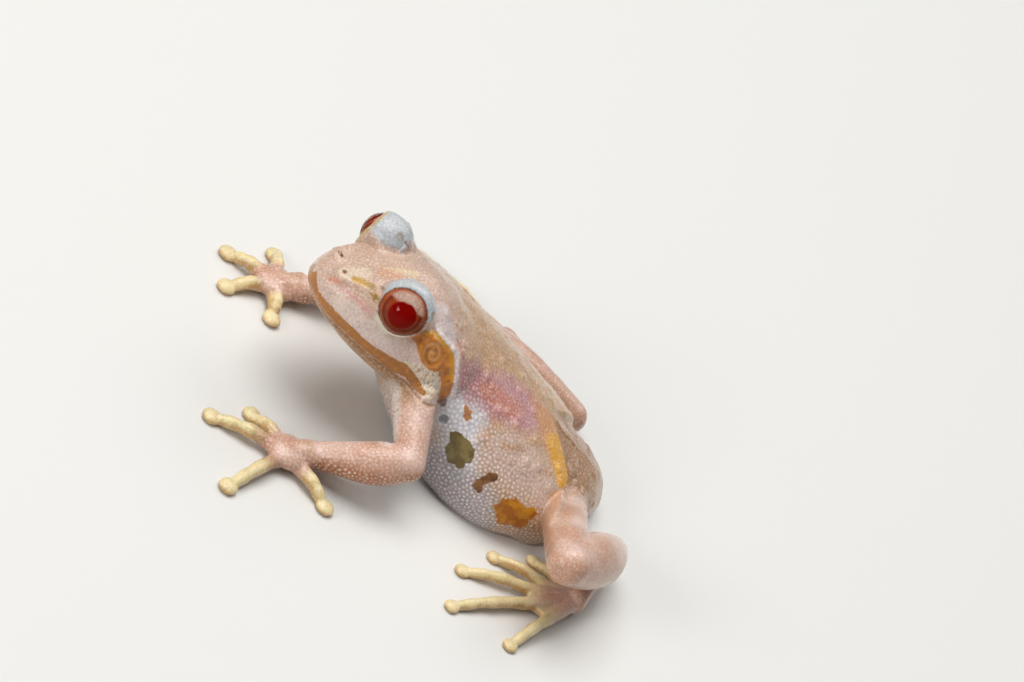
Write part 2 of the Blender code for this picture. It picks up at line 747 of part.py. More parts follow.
def add_eyes():
    for name, sign in (("left", 1), ("right", -1)):
        shape = bmesh.new()
        ball(shape, in_head(0, sign * EYE_SPACING / 2, 0), (EYE_RADIUS,) * 3)
        add_object("eye_" + name, shape)


def centre_on_floor():
    """Puts the origin under the middle of the whole and turns millimetres to metres."""
    corners = [v.co for piece in bpy.data.objects for v in piece.data.vertices]
    middle = [(min(c[i] for c in corners) + max(c[i] for c in corners)) / 2 for i in (0, 1)]
    shift = Matrix.Translation((-middle[0], -middle[1], 0))
    for piece in bpy.data.objects:
        piece.data.transform(Matrix.Scale(MM, 4) @ shift)


def finish_pieces():
    skin = material("moist granular skin", SKIN, 0.4)
    belly = material("pale belly skin", BELLY, 0.45)
    digits = material("translucent finger skin", DIGITS, 0.35)
    iris = material("red eye", IRIS, 0.08)
    for piece in bpy.data.objects:
        kind = piece.name.split("_")[0]
        finish = {"eye": iris, "hand": digits, "foot": digits, "torso": belly}.get(kind, skin)
        piece.data.materials.append(finish)
        piece.data.shade_smooth()
        piece.data.set_sharp_from_angle(angle=math.radians(40))


def build():
    clear_scene()
    body = whole_skin()
    cut_floor(body)
    carve_face(body)
    part_limbs(body)
    split_nodes(body, limb_centres() | {"trunk": trunk_centres()["torso"]})
    trunk = bpy.data.objects["trunk"]
    part_trunk(trunk)
    split_nodes(trunk, trunk_centres())
    add_eyes()
    centre_on_floor()
    finish_pieces()


build()
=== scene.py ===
"""The look of a Pacific tree frog, life size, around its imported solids.

One skin takes the place of all nodes of flesh, and two eyes the place of the eye nodes.
The frog is shaped in millimetres, in the place where part.py models it before it is centred:
the point between the eyes is at (0, 0, 13.76), the frog faces -Y and its left side is +X.
"""

import math

import bpy
import bmesh
import numpy as np
from mathutils import Matrix, Vector, kdtree, noise


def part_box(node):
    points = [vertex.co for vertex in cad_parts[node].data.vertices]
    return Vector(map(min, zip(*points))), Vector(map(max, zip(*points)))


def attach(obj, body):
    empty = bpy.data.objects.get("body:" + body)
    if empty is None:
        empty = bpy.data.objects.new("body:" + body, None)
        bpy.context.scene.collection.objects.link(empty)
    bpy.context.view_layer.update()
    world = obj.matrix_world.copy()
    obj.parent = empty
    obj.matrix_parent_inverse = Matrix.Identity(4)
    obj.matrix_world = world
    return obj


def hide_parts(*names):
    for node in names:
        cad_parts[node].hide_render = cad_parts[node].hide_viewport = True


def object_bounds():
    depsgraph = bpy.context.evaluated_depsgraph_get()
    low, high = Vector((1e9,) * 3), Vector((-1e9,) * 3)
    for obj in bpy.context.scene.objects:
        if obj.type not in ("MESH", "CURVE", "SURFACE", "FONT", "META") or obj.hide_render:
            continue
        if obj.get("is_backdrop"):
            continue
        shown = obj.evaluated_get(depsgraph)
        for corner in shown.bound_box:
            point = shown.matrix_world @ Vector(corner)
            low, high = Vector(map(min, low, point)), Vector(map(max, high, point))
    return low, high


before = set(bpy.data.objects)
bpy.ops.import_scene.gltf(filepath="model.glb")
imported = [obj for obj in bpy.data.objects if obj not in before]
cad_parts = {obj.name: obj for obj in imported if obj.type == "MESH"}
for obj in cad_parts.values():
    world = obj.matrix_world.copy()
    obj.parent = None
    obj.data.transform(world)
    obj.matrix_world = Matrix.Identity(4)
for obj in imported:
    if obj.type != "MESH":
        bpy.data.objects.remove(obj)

bl_info = {
    "name": "Pacific tree frog",
    "version": (1, 0, 0),
    "blender": (4, 5, 0),
    "location": "3D View > Sidebar > Frog",
    "description": "Builds the skin, the eyes and the studio of a life-size tree frog",
    "category": "Object",
}

MM = 0.001
BOX_MARGIN = 0.002      # millimetres that the skin keeps inside the solids' box

# Sizes of the frog, as in part.py.

RING = 64               # points round a loft or a limb
DIGIT_RING = 20
LOFT_STEPS = 9          # rings from one station to the next
DIGIT_STEPS = 5
CAP_ANGLES = (80, 60, 40, 20)       # degrees round the rounded end of a limb
SIDES = (("left", 1), ("right", -1))

MID_EYE = Vector((0.0, 0.0, 13.76))
HEAD_FORWARD = Vector((0.165, -0.985, -0.086)).normalized()
HEAD_LEFT = Vector((0.984, 0.159, 0.064))
EYE_SPACING = 8.8
NOSTRIL = (5.2, 1.45, 0.0)
NOSTRIL_SWELLING = (0.95, 0.62, 0.5)
NOSTRIL_SINK = 0.6
BROW_RADIUS = 0.5
EAR_FOLD_RADII = (0.4, 0.5, 0.5, 0.45)
MOUTH_MIDDLE = -0.5
MOUTH_LEVEL = -5.12
MOUTH_SLOPE = 0.25

# forward, half width, top, bottom, level of the widest place, squareness of the upper half
HEAD_STATIONS = (
    (7.0, 0.25, -1.9, -2.5, -2.2, 2.2),
    (6.7, 1.15, -1.3, -3.2, -2.35, 2.4),
    (6.0, 2.35, -0.85, -4.0, -2.9, 2.6),
    (5.0, 3.35, -0.4, -4.75, -3.5, 2.9),
    (3.5, 4.4, 0.05, -5.6, -4.05, 3.0),
    (2.0, 5.15, 0.45, -6.35, -4.55, 2.9),
    (0.0, 5.85, 0.8, -7.2, -5.1, 2.6),
    (-2.0, 6.35, 0.95, -8.1, -5.55, 2.3),
    (-4.0, 6.6, 0.7, -8.9, -5.9, 2.15),
    (-6.0, 6.4, -0.3, -9.2, -6.1, 2.05),
    (-8.0, 5.7, -1.65, -8.9, -5.8, 2.0),
    (-9.5, 4.5, -2.8, -8.0, -5.6, 2.0),
)

BACK_START = Vector((-0.94, 5.95, 13.6))
TRUNK_BACKWARD = Vector((0.0, 0.907, -0.4203)).normalized()
TRUNK_LEFT = Vector((0.9915, -0.045, -0.0995))

# along the back, half width, top and depth from the line of the back, squareness of the belly,
# and how far the flanks lean to the left
TRUNK_STATIONS = (
    (-4.0, 4.8, -0.8, 7.0, 2.1, 0.0),
    (0.0, 5.9, -0.1, 8.6, 2.2, 0.0),
    (4.0, 6.8, 0.1, 10.1, 2.3, 0.0),
    (8.0, 7.8, 0.2, 10.8, 2.5, 0.3),
    (12.0, 8.8, 0.35, 9.75, 3.3, 1.2),
    (15.5, 8.8, 0.5, 8.1, 3.7, 1.8),
    (18.5, 8.0, 0.6, 6.7, 3.3, 1.9),
    (21.0, 6.9, 0.6, 6.2, 3.4, 1.9),
    (23.0, 5.0, 0.2, 5.0, 2.8, 0.9),
    (24.8, 3.0, -0.5, 3.6, 2.2, 0.0),
    (25.9, 1.3, -1.3, 2.9, 2.1, 0.0),
)

TRUNK_MIDDLE = 0.52                 # where the trunk is widest, as a share of its height
BACK_SQUARENESS = 2.05

SHOULDER = {"left": (5.2, 5.9, 7.4), "right": (-6.3, 7.4, 8.5)}
ELBOW = {"left": (11.35, 7.0, 4.9), "right": (-12.4, 6.8, 5.0)}
WRIST = {"left": (11.2, 0.1, 1.6), "right": (-9.3, -1.5, 1.6)}
PALM = {"left": (11.9, -2.4, 1.05), "right": (-9.0, -4.3, 1.05)}
HIP = {"left": (2.4, 24.6, 2.4), "right": (-3.1, 25.2, 2.7)}
KNEE = {"left": (17.4, 21.4, 7.4), "right": (-14.0, 11.6, 2.3)}
HEEL = {"left": (6.8, 29.0, 2.6), "right": (-10.0, 25.8, 1.6)}
INSTEP = {"left": (13.2, 26.2, 1.05), "right": (-16.8, 19.2, 1.05)}

UPPER_ARM_RADII = (2.1, 1.85, 1.65, 1.5, 1.5)
FOREARM_RADII = (1.5, 1.85, 1.8, 1.5, 1.2)
THIGH_RADII = (1.9, 1.9, 1.95, 1.9, 1.85)
SHANK_RADII = (1.85, 2.3, 2.4, 2.0, 1.5)
TARSUS_RADII = (1.15, 1.0, 0.95, 1.0, 1.1)

FINGER_TIPS = {
    "left": ((8.5, -5.7), (11.1, -9.5), (18.7, -7.6), (15.6, 1.7)),
    "right": ((-5.0, -4.2), (-6.3, -8.8), (-10.8, -8.8), (-13.6, -4.2)),
}
TOE_TIPS = {
    "left": ((9.7, 22.6), (11.6, 18.6), (15.2, 15.4), (20.2, 14.4), (21.6, 20.2)),
    "right": ((-17.6, 14.4), (-19.0, 11.4), (-21.4, 8.6), (-24.2, 9.0), (-22.6, 12.8)),
}
PALM_RADII = (2.1, 1.9, 1.05)
WRIST_RADII = (1.2, 1.25, 1.05)
KNUCKLE_REACH = 1.5                 # from the middle of the palm to the root of each finger
KNUCKLE_HEIGHT = 0.85
KNUCKLE_RADII = (0.92, 0.82, 0.66)
SOLE_HEIGHT = 0.68
SOLE_RADII = (0.85, 0.7, 0.6)
FINGER_RADIUS = 0.6
TOE_RADIUS = 0.5
FINGER_DISC = (0.9, 0.48)          # radius and half thickness
TOE_DISC = (0.72, 0.4)

# share of a digit's length, and its thickness there as a share of its radius
DIGIT_SHAPE = ((0, 1.2), (0.3, 0.98), (0.48, 1.08), (0.66, 0.92), (0.8, 1.0), (1, 0.82))
DIGIT_ARCH = 0.35
TOE_ROOT = 0.42
WEB_SHARES = (0.25, 0.5, 0.75, 0.95)
WEB_FLOOR = 0.3
WEB_THICKNESS = 0.6
WEB_HOLLOW = 0.1
FLOOR_SINK = 0.12

# What the skin adds.

EYE_AXIS = (0.49, 0.80, 0.34)       # where the left eye looks: forward, left, up
EYE_OUTER = 2.82                    # the swelling that the eye and its lids make
LID_EDGE = math.radians(74)         # from the eye's axis to the edge of the lids
LID_OVERHANG = math.radians(10)     # how much further in the upper lid comes
LID_TURN = math.radians(107)        # where it comes in most, about the axis, from the front upward
LOWER_RIM_TURN = math.radians(70)   # how far below the front the middle of the pale lower rim lies
FAR_LID = (0.78, -0.60, 0.20)       # the right upper lid hangs lower, behind a plane across the eye
FAR_LID_REACH = 0.76                # from the middle of the eye to that plane, as a share of its radius

LID_GAP = 0.04                      # between the eye and the thin edge of a lid
LID_REACH = 3.6                     # from the middle of the eye, how far it shapes the skin
TUCK = 0.55                         # how far behind the eye's face the skin's inner edge lies
LID_BLEND = 4.4                     # from the middle of the eye, how far the lids are softened
JOINT_ROUNDS = 30                   # rounds of softening where limbs meet the trunk
SKIN_ROUNDS = 2                     # and everywhere
SWELL = (0.03, 1.3)                 # height and size of the skin's slow unevenness
CREASE_WAY = (0.42, 0.91)           # the way the fine creases run, on the plane of the marks
CELL_SHARE = 0.72                   # cells in which granules are picked, of their spacing
LEAST_SHARE = 0.66                  # least distance of two granules, of their spacing
WART_COUNT = 230
WART_SIZES = (0.22, 0.48)
ELBOW_PATCH = (11.9, 8.4, 3.4)      # the ochre patch before the left elbow

# The right eye stands a little further forward and out than the left one does on its side.
EYE_MIDDLES = {1: (0.0, EYE_SPACING / 2, 0.0), -1: (0.28, -EYE_SPACING / 2 - 0.12, -0.06)}

# The marks of the side are drawn on the plane on which the frog's left side shows its shape:
# millimetres to the right and up from the point between the eyes.
SIDE_RIGHT = Vector((0.0023, 0.8363, 0.5484))
SIDE_UP = Vector((-0.645, -0.4178, 0.640))
SIDE_OUT = Vector((0.7643, -0.355, 0.5384))

EAR_SPOT = (3.06, -6.6)
EAR_RADII = (0.92, 1.15)
NOSTRIL_SPOT = (-4.27, 0.30)
EAR_MASK = (
    (1.27, -5.18), (2.01, -4.93), (2.75, -4.69), (3.24, -4.62), (3.55, -4.99), (3.92, -5.43),
    (4.35, -5.92), (4.78, -6.53), (4.90, -7.03), (4.84, -7.77), (4.78, -8.63), (4.72, -9.24),
    (4.47, -9.98), (4.10, -10.42), (3.61, -10.60), (3.49, -10.11), (3.73, -9.37), (3.67, -8.63),
    (3.49, -8.14), (2.87, -8.01), (2.26, -7.52), (1.95, -6.90), (1.76, -6.16), (1.64, -5.67),
)
MASK_EDGE = (*EAR_MASK[2:10], (4.79, -8.63))
WHITE_EDGE = (
    (3.43, -4.32), (3.73, -4.99), (4.10, -5.43), (4.57, -5.92), (5.03, -6.53), (5.14, -7.03),
    (5.09, -7.77), (4.99, -8.63), (4.92, -9.37), (4.70, -10.11),
)
LIP_STRIPE = (
    (-6.60, 0.30), (-6.62, -0.60), (-6.47, -1.30), (-5.90, -2.02), (-5.06, -2.95), (-4.27, -3.75),
    (-3.41, -4.52), (-2.67, -5.30), (-1.69, -6.04),
    (-0.70, -6.66), (0.04, -7.03), (0.78, -7.40), (1.27, -7.89), (1.64, -8.44), (2.01, -9.00),
    (2.50, -9.86), (2.38, -10.11), (1.76, -9.86), (1.27, -9.24), (0.78, -8.63), (0.16, -8.26),
    (-0.46, -8.14), (-0.95, -7.77), (-1.44, -7.15), (-1.93, -6.78), (-2.55, -6.29), (-3.54, -5.43),
    (-4.27, -4.69), (-4.89, -4.19), (-5.63, -3.58), (-6.30, -2.90),
    (-6.90, -2.10), (-7.60, -1.20), (-7.80, 0.30),
)
JAW_LOBE = (
    (0.28, -6.90), (1.27, -7.15), (2.01, -7.52), (2.87, -8.01), (3.49, -8.14), (3.73, -8.75),
    (3.80, -9.49), (3.36, -10.23), (2.75, -10.60), (2.01, -10.60), (2.26, -10.11), (1.76, -9.24),
    (1.27, -8.51),
)
LID_MARK = (
    (3.02, -3.08), (3.22, -3.03), (3.27, -3.33), (3.14, -3.76), (2.97, -3.89), (2.99, -3.45),
)
NECK_CREASE = ((5.11, -5.43), (5.34, -5.92), (5.48, -6.53), (5.64, -7.21))
OLIVE_SPOT = (
    (4.45, -13.25), (4.89, -13.06), (5.38, -13.31), (5.87, -13.80), (6.24, -14.17), (6.55, -14.73),
    (6.43, -15.34), (6.24, -15.84), (5.81, -15.90), (5.62, -16.27), (5.13, -16.27), (4.76, -15.96),
    (4.33, -15.84), (4.08, -15.34), (4.08, -14.48), (4.39, -14.11),
)
GREY_SPOT = (
    (3.47, -11.89), (3.96, -11.67), (4.33, -11.89), (4.37, -12.20), (4.08, -12.45), (3.53, -12.26),
)
SMALL_SPOT = (
    (5.75, -10.85), (5.93, -10.91), (6.06, -11.28), (6.49, -11.40), (6.24, -11.65), (6.30, -12.14),
    (5.87, -12.20), (5.56, -11.89), (5.62, -11.46),
)
BROWN_SPOT = (
    (6.24, -17.69), (6.73, -17.26), (7.23, -16.95), (7.72, -16.64), (8.34, -16.76), (8.56, -17.13),
    (8.21, -17.44), (7.72, -17.50), (7.35, -17.69), (7.17, -18.18), (6.86, -18.40), (6.49, -18.06),
)
ORANGE_SPOT = (
    (8.09, -19.54), (8.58, -19.17), (8.89, -18.80), (9.32, -18.98), (10.06, -18.86),
    (10.43, -19.29), (10.80, -19.60), (11.66, -19.72), (11.85, -20.15), (11.29, -20.64),
    (10.80, -21.38), (10.19, -21.51), (9.57, -21.14), (9.01, -21.14), (8.46, -21.01),
    (8.34, -20.40),
)
ARMPIT_SPOT = ((3.41, -10.54), (4.15, -10.29), (4.21, -10.78), (4.08, -11.09), (3.65, -11.03))

# The spots of the flank: the name, the outline, the colour, the second colour of a mottled one, how
# soft and how ragged the edge is, and the strength.
SPOTS = (
    ("olive", OLIVE_SPOT, "#6A5728", "#807040", 0.05, 0.7, 1.0),
    ("grey", GREY_SPOT, "#706F76", None, 0.06, 0.6, 0.8),
    ("small", SMALL_SPOT, "#B27A4C", None, 0.05, 0.7, 1.0),
    ("brown", BROWN_SPOT, "#603C1A", "#84562C", 0.05, 0.7, 1.0),
    ("orange", ORANGE_SPOT, "#A25C04", "#BC7E12", 0.06, 0.8, 1.0),
    ("armpit", ARMPIT_SPOT, "#7A4A3C", None, 0.08, 0.6, 0.8),
)

# Soft changes of colour: the view, the line on it, the width in millimetres, the colour and how much
# of it shows.  The views are the left sides of head and trunk on the plane above.
STROKES = (
    ("face", ((-2.4, 1.5), (-0.9, 1.25)), 0.60, "#C89462", 0.55),
    ("face", ((-0.5, 0.8), (1.6, 0.3)), 0.50, "#D2BC8C", 0.60),
    ("face", ((-1.2, 0.2), (0.2, 0.0)), 0.38, "#CC9270", 0.60),
    ("face", ((0.7, 2.2), (3.0, 1.2)), 0.70, "#C8A09E", 0.45),
    ("face", ((3.7, -3.0), (4.5, -5.2)), 0.80, "#D2C6C8", 0.65),
    ("face", ((-4.3, 0.2), (-2.6, 0.1)), 0.60, "#DCCBAE", 0.55),
    ("face", ((-5.4, -0.45), (-4.7, -0.5)), 0.30, "#D08062", 0.60),
    ("face", ((-3.4, -0.40), (-2.5, -0.75)), 0.36, "#B88A14", 0.95),
    ("face", ((-2.0, -1.0), (-1.62, -2.0)), 0.36, "#94701A", 0.95),
    ("face", ((-1.3, -1.0), (-0.8, -1.25)), 0.17, "#6E5F36", 0.70),
    ("face", ((-4.5, -1.1), (-3.0, -2.2), (-2.0, -3.3)), 0.28, "#CC9290", 0.50),
    ("face", ((-4.6, -2.4), (-2.6, -4.2), (-0.4, -5.7)), 0.85, "#DCCABE", 0.60),
    ("face", ((0.9, -4.4), (2.6, -5.0)), 0.34, "#96580E", 0.80),
    ("flank", ((5.8, -9.2), (8.2, -10.2), (11.2, -11.4)), 2.30, "#B27A82", 0.85),
    ("flank", ((7.6, -9.6), (9.8, -11.4)), 0.90, "#C0744E", 0.50),
    ("flank", ((3.2, -10.6), (5.6, -12.4), (5.0, -15.5)), 2.10, "#D4D6DC", 0.90),
    ("flank", ((3.4, -16.6), (6.6, -19.6)), 2.20, "#A6A0A6", 0.85),
    ("flank", ((8.8, -15.0), (12.0, -17.8)), 2.50, "#C0A697", 0.85),
    ("flank", ((8.9, -14.4), (10.5, -14.7)), 0.34, "#AC7A4E", 0.55),
    ("flank", ((12.0, -16.6), (13.0, -16.9)), 0.30, "#A8784A", 0.50),
    ("flank", ((11.9, -10.4), (12.9, -13.6)), 0.80, "#C88850", 0.60),
    ("flank", ((12.6, -11.8), (13.4, -14.6), (14.0, -17.0)), 0.85, "#C88A3C", 0.55),
    ("flank", ((13.2, -14.0), (13.7, -15.8), (14.05, -17.6)), 0.60, "#D89A06", 1.0),
    ("flank", ((13.5, -18.6), (12.9, -20.2)), 0.36, "#C88824", 0.85),
)

# Small smudges on the right eyelid: the place in the head, the reach, the colour and the strength.
SMUDGES = (
    ((0.0, -2.9, 1.9), 0.55, "#857558", 0.60),
    ((-1.3, -2.9, 1.3), 0.50, "#B87A60", 0.55),
    ((-0.6, -2.8, 1.5), 0.22, "#4E4034", 0.70),
)

HIP_FOLD = (
    (12.75, -10.60), (13.15, -12.00), (13.75, -13.80), (14.20, -15.50), (14.45, -17.20),
    (14.15, -18.60), (13.50, -19.90), (12.60, -21.40),
)
CHEST_FOLDS = ((-0.55, -9.6), (-0.50, -11.4), (-0.75, -13.4))
IRIS_RINGS = {"left": "#86401E", "right": "#A8743C"}
EYE_POINTS = 96                     # round an eye
PUPIL_MIDDLE = (-0.02, -0.16)       # forward and up on the front of the eye
PUPIL_AXES = (1.16, 1.10)
PUPIL_TURN = math.radians(28)

# The picture: the camera looks at right angles to the plane of the marks.
CAMERA_DISTANCE = 0.5               # metres
SENSOR = 36.0
VIEW_WIDTH = 86.05                  # millimetres across the picture at the eyes
VIEW_SHIFT = (9.66, -5.55)          # from between the eyes to the picture's middle
FLOOR_HALF = 1.5                    # metres
FLOOR_LEVEL = -0.02                 # just under the flats that the frog rests on
AIR = "#EAF0F6"

# Softboxes: where each stands from the eyes in metres, its size and its watts.
LIGHTS = (
    ("sky_light", Vector((0, 0, 0.55)) + SIDE_UP * 0.12 - SIDE_RIGHT * 0.12, 0.45, 3.2),
    ("front_light", SIDE_OUT * 0.5 - SIDE_RIGHT * 0.25 + SIDE_UP * 0.13, 0.16, 1.2),
    ("rim_light", SIDE_RIGHT * 0.4 + SIDE_UP * 0.35 - SIDE_OUT * 0.1, 0.35, 0.8),
)

FLESH = ["head", "torso", "rump"] + [
    f"{part}_{side}"
    for part in ("upper_arm", "forearm", "hand", "thigh", "shank", "tarsus", "foot")
    for side in ("left", "right")
]


def colour(code):
    """A colour written as sRGB hex, turned linear."""
    parts = [int(code[i:i + 2], 16) / 255 for i in (1, 3, 5)]
    return tuple(c / 12.92 if c <= 0.04045 else ((c + 0.055) / 1.055) ** 2.4 for c in parts)


def length_setting(name, description, millimetres):
    return bpy.props.FloatProperty(
        name=name, description=description, default=millimetres * MM, min=0.0, precision=5,
        subtype="DISTANCE", unit="LENGTH",
    )


def colour_setting(name, description, code):
    return bpy.props.FloatVectorProperty(
        name=name, description=description, default=colour(code), size=3, min=0.0, max=1.0,
        subtype="COLOR",
    )


class FrogSettings(bpy.types.PropertyGroup):
    grid: length_setting("Grid", "Spacing of the grid on which the skin is fused", 0.08)
    eye_radius: length_setting("Eye radius", "Radius of the clear front of the eye", 2.2)
    granule: length_setting("Granule", "Spacing of the pearly granules of the skin", 0.40)
    granule_height: length_setting("Granule height", "How far a granule of the flank stands out", 0.032)
    wart_height: length_setting("Wart height", "Height of the largest warts on the back", 0.19)
    back: colour_setting("Back", "Skin of the back", "#B89068")
    crown: colour_setting("Crown", "Skin on top of the head", "#BD9D88")
    cheek: colour_setting("Cheek", "Skin between eye and lip", "#D0B4AB")
    belly: colour_setting("Belly", "Lower flank and belly", "#B9B1B6")
    throat: colour_setting("Throat", "Loose skin below the mouth", "#A8845A")
    lid: colour_setting("Lid", "Upper eyelids", "#AEB6BA")
    limb: colour_setting("Limb", "Arms and legs", "#C39379")
    digit: colour_setting("Digit", "Fingers and toes", "#DCCB98")
    mask: colour_setting("Mask", "Amber behind the eye", "#C4760A")
    mark: colour_setting("Mark", "Amber of the lip stripe", "#A06204")
    bright_mark: colour_setting("Bright mark", "Yellow edge of the mask", "#CC9014")
    iris: colour_setting("Iris", "Iris near its edge", "#6E2810")
    pupil: colour_setting("Pupil", "Red depth of the pupil", "#620100")
    floor: colour_setting("Floor", "Studio floor", "#DCDAD5")


def settings():
    return bpy.context.scene.frog


# Shapes, in millimetres.

def frame_of(forward, left):
    """Forward, left and up, square to each other."""
    forward = Vector(forward).normalized()
    up = forward.cross(Vector(left)).normalized()
    if up.z < 0:
        up = -up
    side = (Vector(left) - forward * forward.dot(Vector(left))).normalized()
    return forward, side, up


HEAD_AXES = frame_of(HEAD_FORWARD, HEAD_LEFT)
TRUNK_AXES = frame_of(TRUNK_BACKWARD, TRUNK_LEFT)


def in_head(forward, left, up):
    return MID_EYE + HEAD_AXES[0] * forward + HEAD_AXES[1] * left + HEAD_AXES[2] * up


def eased(rows, steps):
    """Rows of numbers read off a smooth curve through the given ones."""
    rows = np.array(rows, float)
    padded = np.vstack([2 * rows[0] - rows[1], rows, 2 * rows[-1] - rows[-2]])
    made = []
    for i in range(len(rows) - 1):
        a, b, c, d = padded[i:i + 4]
        for t in np.arange(steps) / steps:
            made.append(
                0.5 * (2 * b + (c - a) * t + (2 * a - 5 * b + 4 * c - d) * t**2
                       + (3 * b - a - 3 * c + d) * t**3)
            )
    made.append(rows[-1])
    return made


def signed_power(value, power):
    return math.copysign(abs(value) ** power, value)


def section(centre, side, up, half_width, above, below, square=2.2, under=2.2):
    """A closed outline whose upper and lower halves differ in height and squareness."""
    points = []
    for k in range(RING):
        angle = math.tau * k / RING
        height, power = (above, square) if math.sin(angle) >= 0 else (below, under)
        across = half_width * signed_power(math.cos(angle), 2 / power)
        rise = height * signed_power(math.sin(angle), 2 / power)
        points.append(centre + side * across + up * rise)
    return points


def skin_rings(shape, rings):
    """A closed body over rings of equal count, its ends closed by a point each."""
    made = [[shape.verts.new(point) for point in ring] for ring in rings]
    for near, far in zip(made, made[1:]):
        count = len(near)
        for k in range(count):
            shape.faces.new((near[k], near[(k + 1) % count], far[(k + 1) % count], far[k]))
    for ring in (made[0], made[-1]):
        middle = sum((v.co for v in ring), Vector()) / len(ring)
        pole = shape.verts.new(middle)
        for k in range(len(ring)):
            shape.faces.new((ring[k], ring[(k + 1) % len(ring)], pole))


def limb(shape, points, radii, ring=RING, flat=1.0, steps=LOFT_STEPS):
    """A round-ended limb through the points, flattened in height by the given share."""
    rows = eased([(*p, r) for p, r in zip(points, radii)], steps)
    centres = [Vector(row[:3]) for row in rows]
    widths = [row[3] for row in rows]
    start = (centres[1] - centres[0]).normalized()
    end = (centres[-1] - centres[-2]).normalized()
    caps = [math.radians(a) for a in CAP_ANGLES]
    before = [(centres[0] - start * widths[0] * math.sin(a), widths[0] * math.cos(a)) for a in caps]
    after = [(centres[-1] + end * widths[-1] * math.sin(a), widths[-1] * math.cos(a))
             for a in reversed(caps)]
    stations = before + list(zip(centres, widths)) + after
    rings = []
    for i, (centre, radius) in enumerate(stations):
        ahead = stations[min(i + 1, len(stations) - 1)][0]
        behind = stations[max(i - 1, 0)][0]
        along = (ahead - behind).normalized()
        side = along.cross(Vector((0, 0, 1)))
        side = side.normalized() if side.length > 1e-4 else Vector((1, 0, 0))
        up = side.cross(along).normalized()
        rings.append([
            centre + side * radius * math.cos(math.tau * k / ring)
            + up * radius * flat * math.sin(math.tau * k / ring)
            for k in range(ring)
        ])
    skin_rings(shape, rings)


def ball(shape, centre, radii, axes=None, detail=4):
    turn = Matrix.Identity(3) if axes is None else Matrix(axes).transposed()
    place = Matrix.Translation(centre) @ turn.to_4x4() @ Matrix.Diagonal((*radii, 1.0))
    bmesh.ops.create_icosphere(shape, subdivisions=detail, radius=1.0, matrix=place)


def between(a, b, share):
    return Vector(a).lerp(Vector(b), share)


def bulge_head(shape):
    _, side, up = HEAD_AXES
    rings = []
    for along, half_width, top, bottom, widest, square in eased(HEAD_STATIONS, LOFT_STEPS):
        centre = in_head(along, 0, widest)
        rings.append(section(centre, side, up, half_width, top - widest, widest - bottom, square))
    skin_rings(shape, rings)
    for sign in (1, -1):
        ball(shape, eye_middle(sign), (EYE_OUTER,) * 3)
        nostril = in_head(NOSTRIL[0], sign * NOSTRIL[1], NOSTRIL[2] - NOSTRIL_SINK)
        ball(shape, nostril, NOSTRIL_SWELLING)
        brow = [in_head(4.6 - 0.8 * k, sign * (2.0 + 0.42 * k), -0.55 + 0.1 * k) for k in range(4)]
        limb(shape, brow, (BROW_RADIUS,) * 4, ring=DIGIT_RING)
        fold = [in_head(-1.8 - 1.15 * k, sign * (4.9 + 0.36 * k), -0.95 - 0.42 * k * k)
                for k in range(4)]
        limb(shape, fold, EAR_FOLD_RADII, ring=DIGIT_RING)


def bulge_trunk(shape):
    backward, side, up = TRUNK_AXES
    rings = []
    for along, half_width, top, depth, square, lean in eased(TRUNK_STATIONS, LOFT_STEPS):
        middle = (top - depth) * TRUNK_MIDDLE
        centre = BACK_START + backward * along + side * lean + up * middle
        rings.append(section(centre, side, up, half_width, top - middle, middle + depth,
                             BACK_SQUARENESS, square))
    skin_rings(shape, rings)


def limb_rows(start, end, bow, count=5):
    """Points from start to end that bow to one side."""
    start, end, bow = Vector(start), Vector(end), Vector(bow)
    return [
        start.lerp(end, k / (count - 1)) + bow * math.sin(math.pi * k / (count - 1))
        for k in range(count)
    ]


def digit(shape, root, tip, radius, disc):
    """One finger or toe: a shaft that arches a little, knuckles and the round pad on the floor."""
    pad_radius, pad_height = disc
    root = Vector(root)
    end = Vector((*tip, pad_height - FLOOR_SINK))
    line = end - root
    neck = end - line.normalized() * pad_radius * 0.7
    points, radii = [], []
    for share, size in DIGIT_SHAPE:
        rise = DIGIT_ARCH * math.sin(math.pi * share)
        points.append(root.lerp(neck, share) + Vector((0, 0, rise)))
        radii.append(radius * size)
    limb(shape, points, radii, ring=DIGIT_RING, steps=DIGIT_STEPS)
    forward = Vector((line.x, line.y, 0)).normalized()
    axes = (forward, Vector((0, 0, 1)).cross(forward), Vector((0, 0, 1)))
    ball(shape, end, (pad_radius * 1.04, pad_radius, pad_height), axes, detail=3)


def hand(shape, side_name):
    wrist, palm = Vector(WRIST[side_name]), Vector(PALM[side_name])
    forward = Vector(((palm - wrist).x, (palm - wrist).y, 0)).normalized()
    across = Vector((0, 0, 1)).cross(forward)
    axes = (forward, across, Vector((0, 0, 1)))
    ball(shape, palm, PALM_RADII, axes)
    limb(shape, [wrist, between(wrist, palm, 0.5), palm], WRIST_RADII)
    for tip in FINGER_TIPS[side_name]:
        toward = (Vector((*tip, palm.z)) - palm).normalized()
        root = palm + toward * KNUCKLE_REACH
        root.z = KNUCKLE_HEIGHT
        digit(shape, root, tip, FINGER_RADIUS, FINGER_DISC)
        limb(shape, [palm, root, root + toward], KNUCKLE_RADII, ring=DIGIT_RING, flat=0.8)


def foot(shape, side_name):
    instep = Vector(INSTEP[side_name])
    roots = []
    for tip in TOE_TIPS[side_name]:
        root = instep.lerp(Vector((*tip, 0.0)), TOE_ROOT)
        root.z = SOLE_HEIGHT
        roots.append(root)
        bones = [instep, between(instep, root, 0.5), root]
        limb(shape, bones, SOLE_RADII, ring=DIGIT_RING, flat=0.9)
        digit(shape, root, tip, TOE_RADIUS, TOE_DISC)
    for first, second in zip(roots, roots[1:]):
        web(shape, instep, first, second)


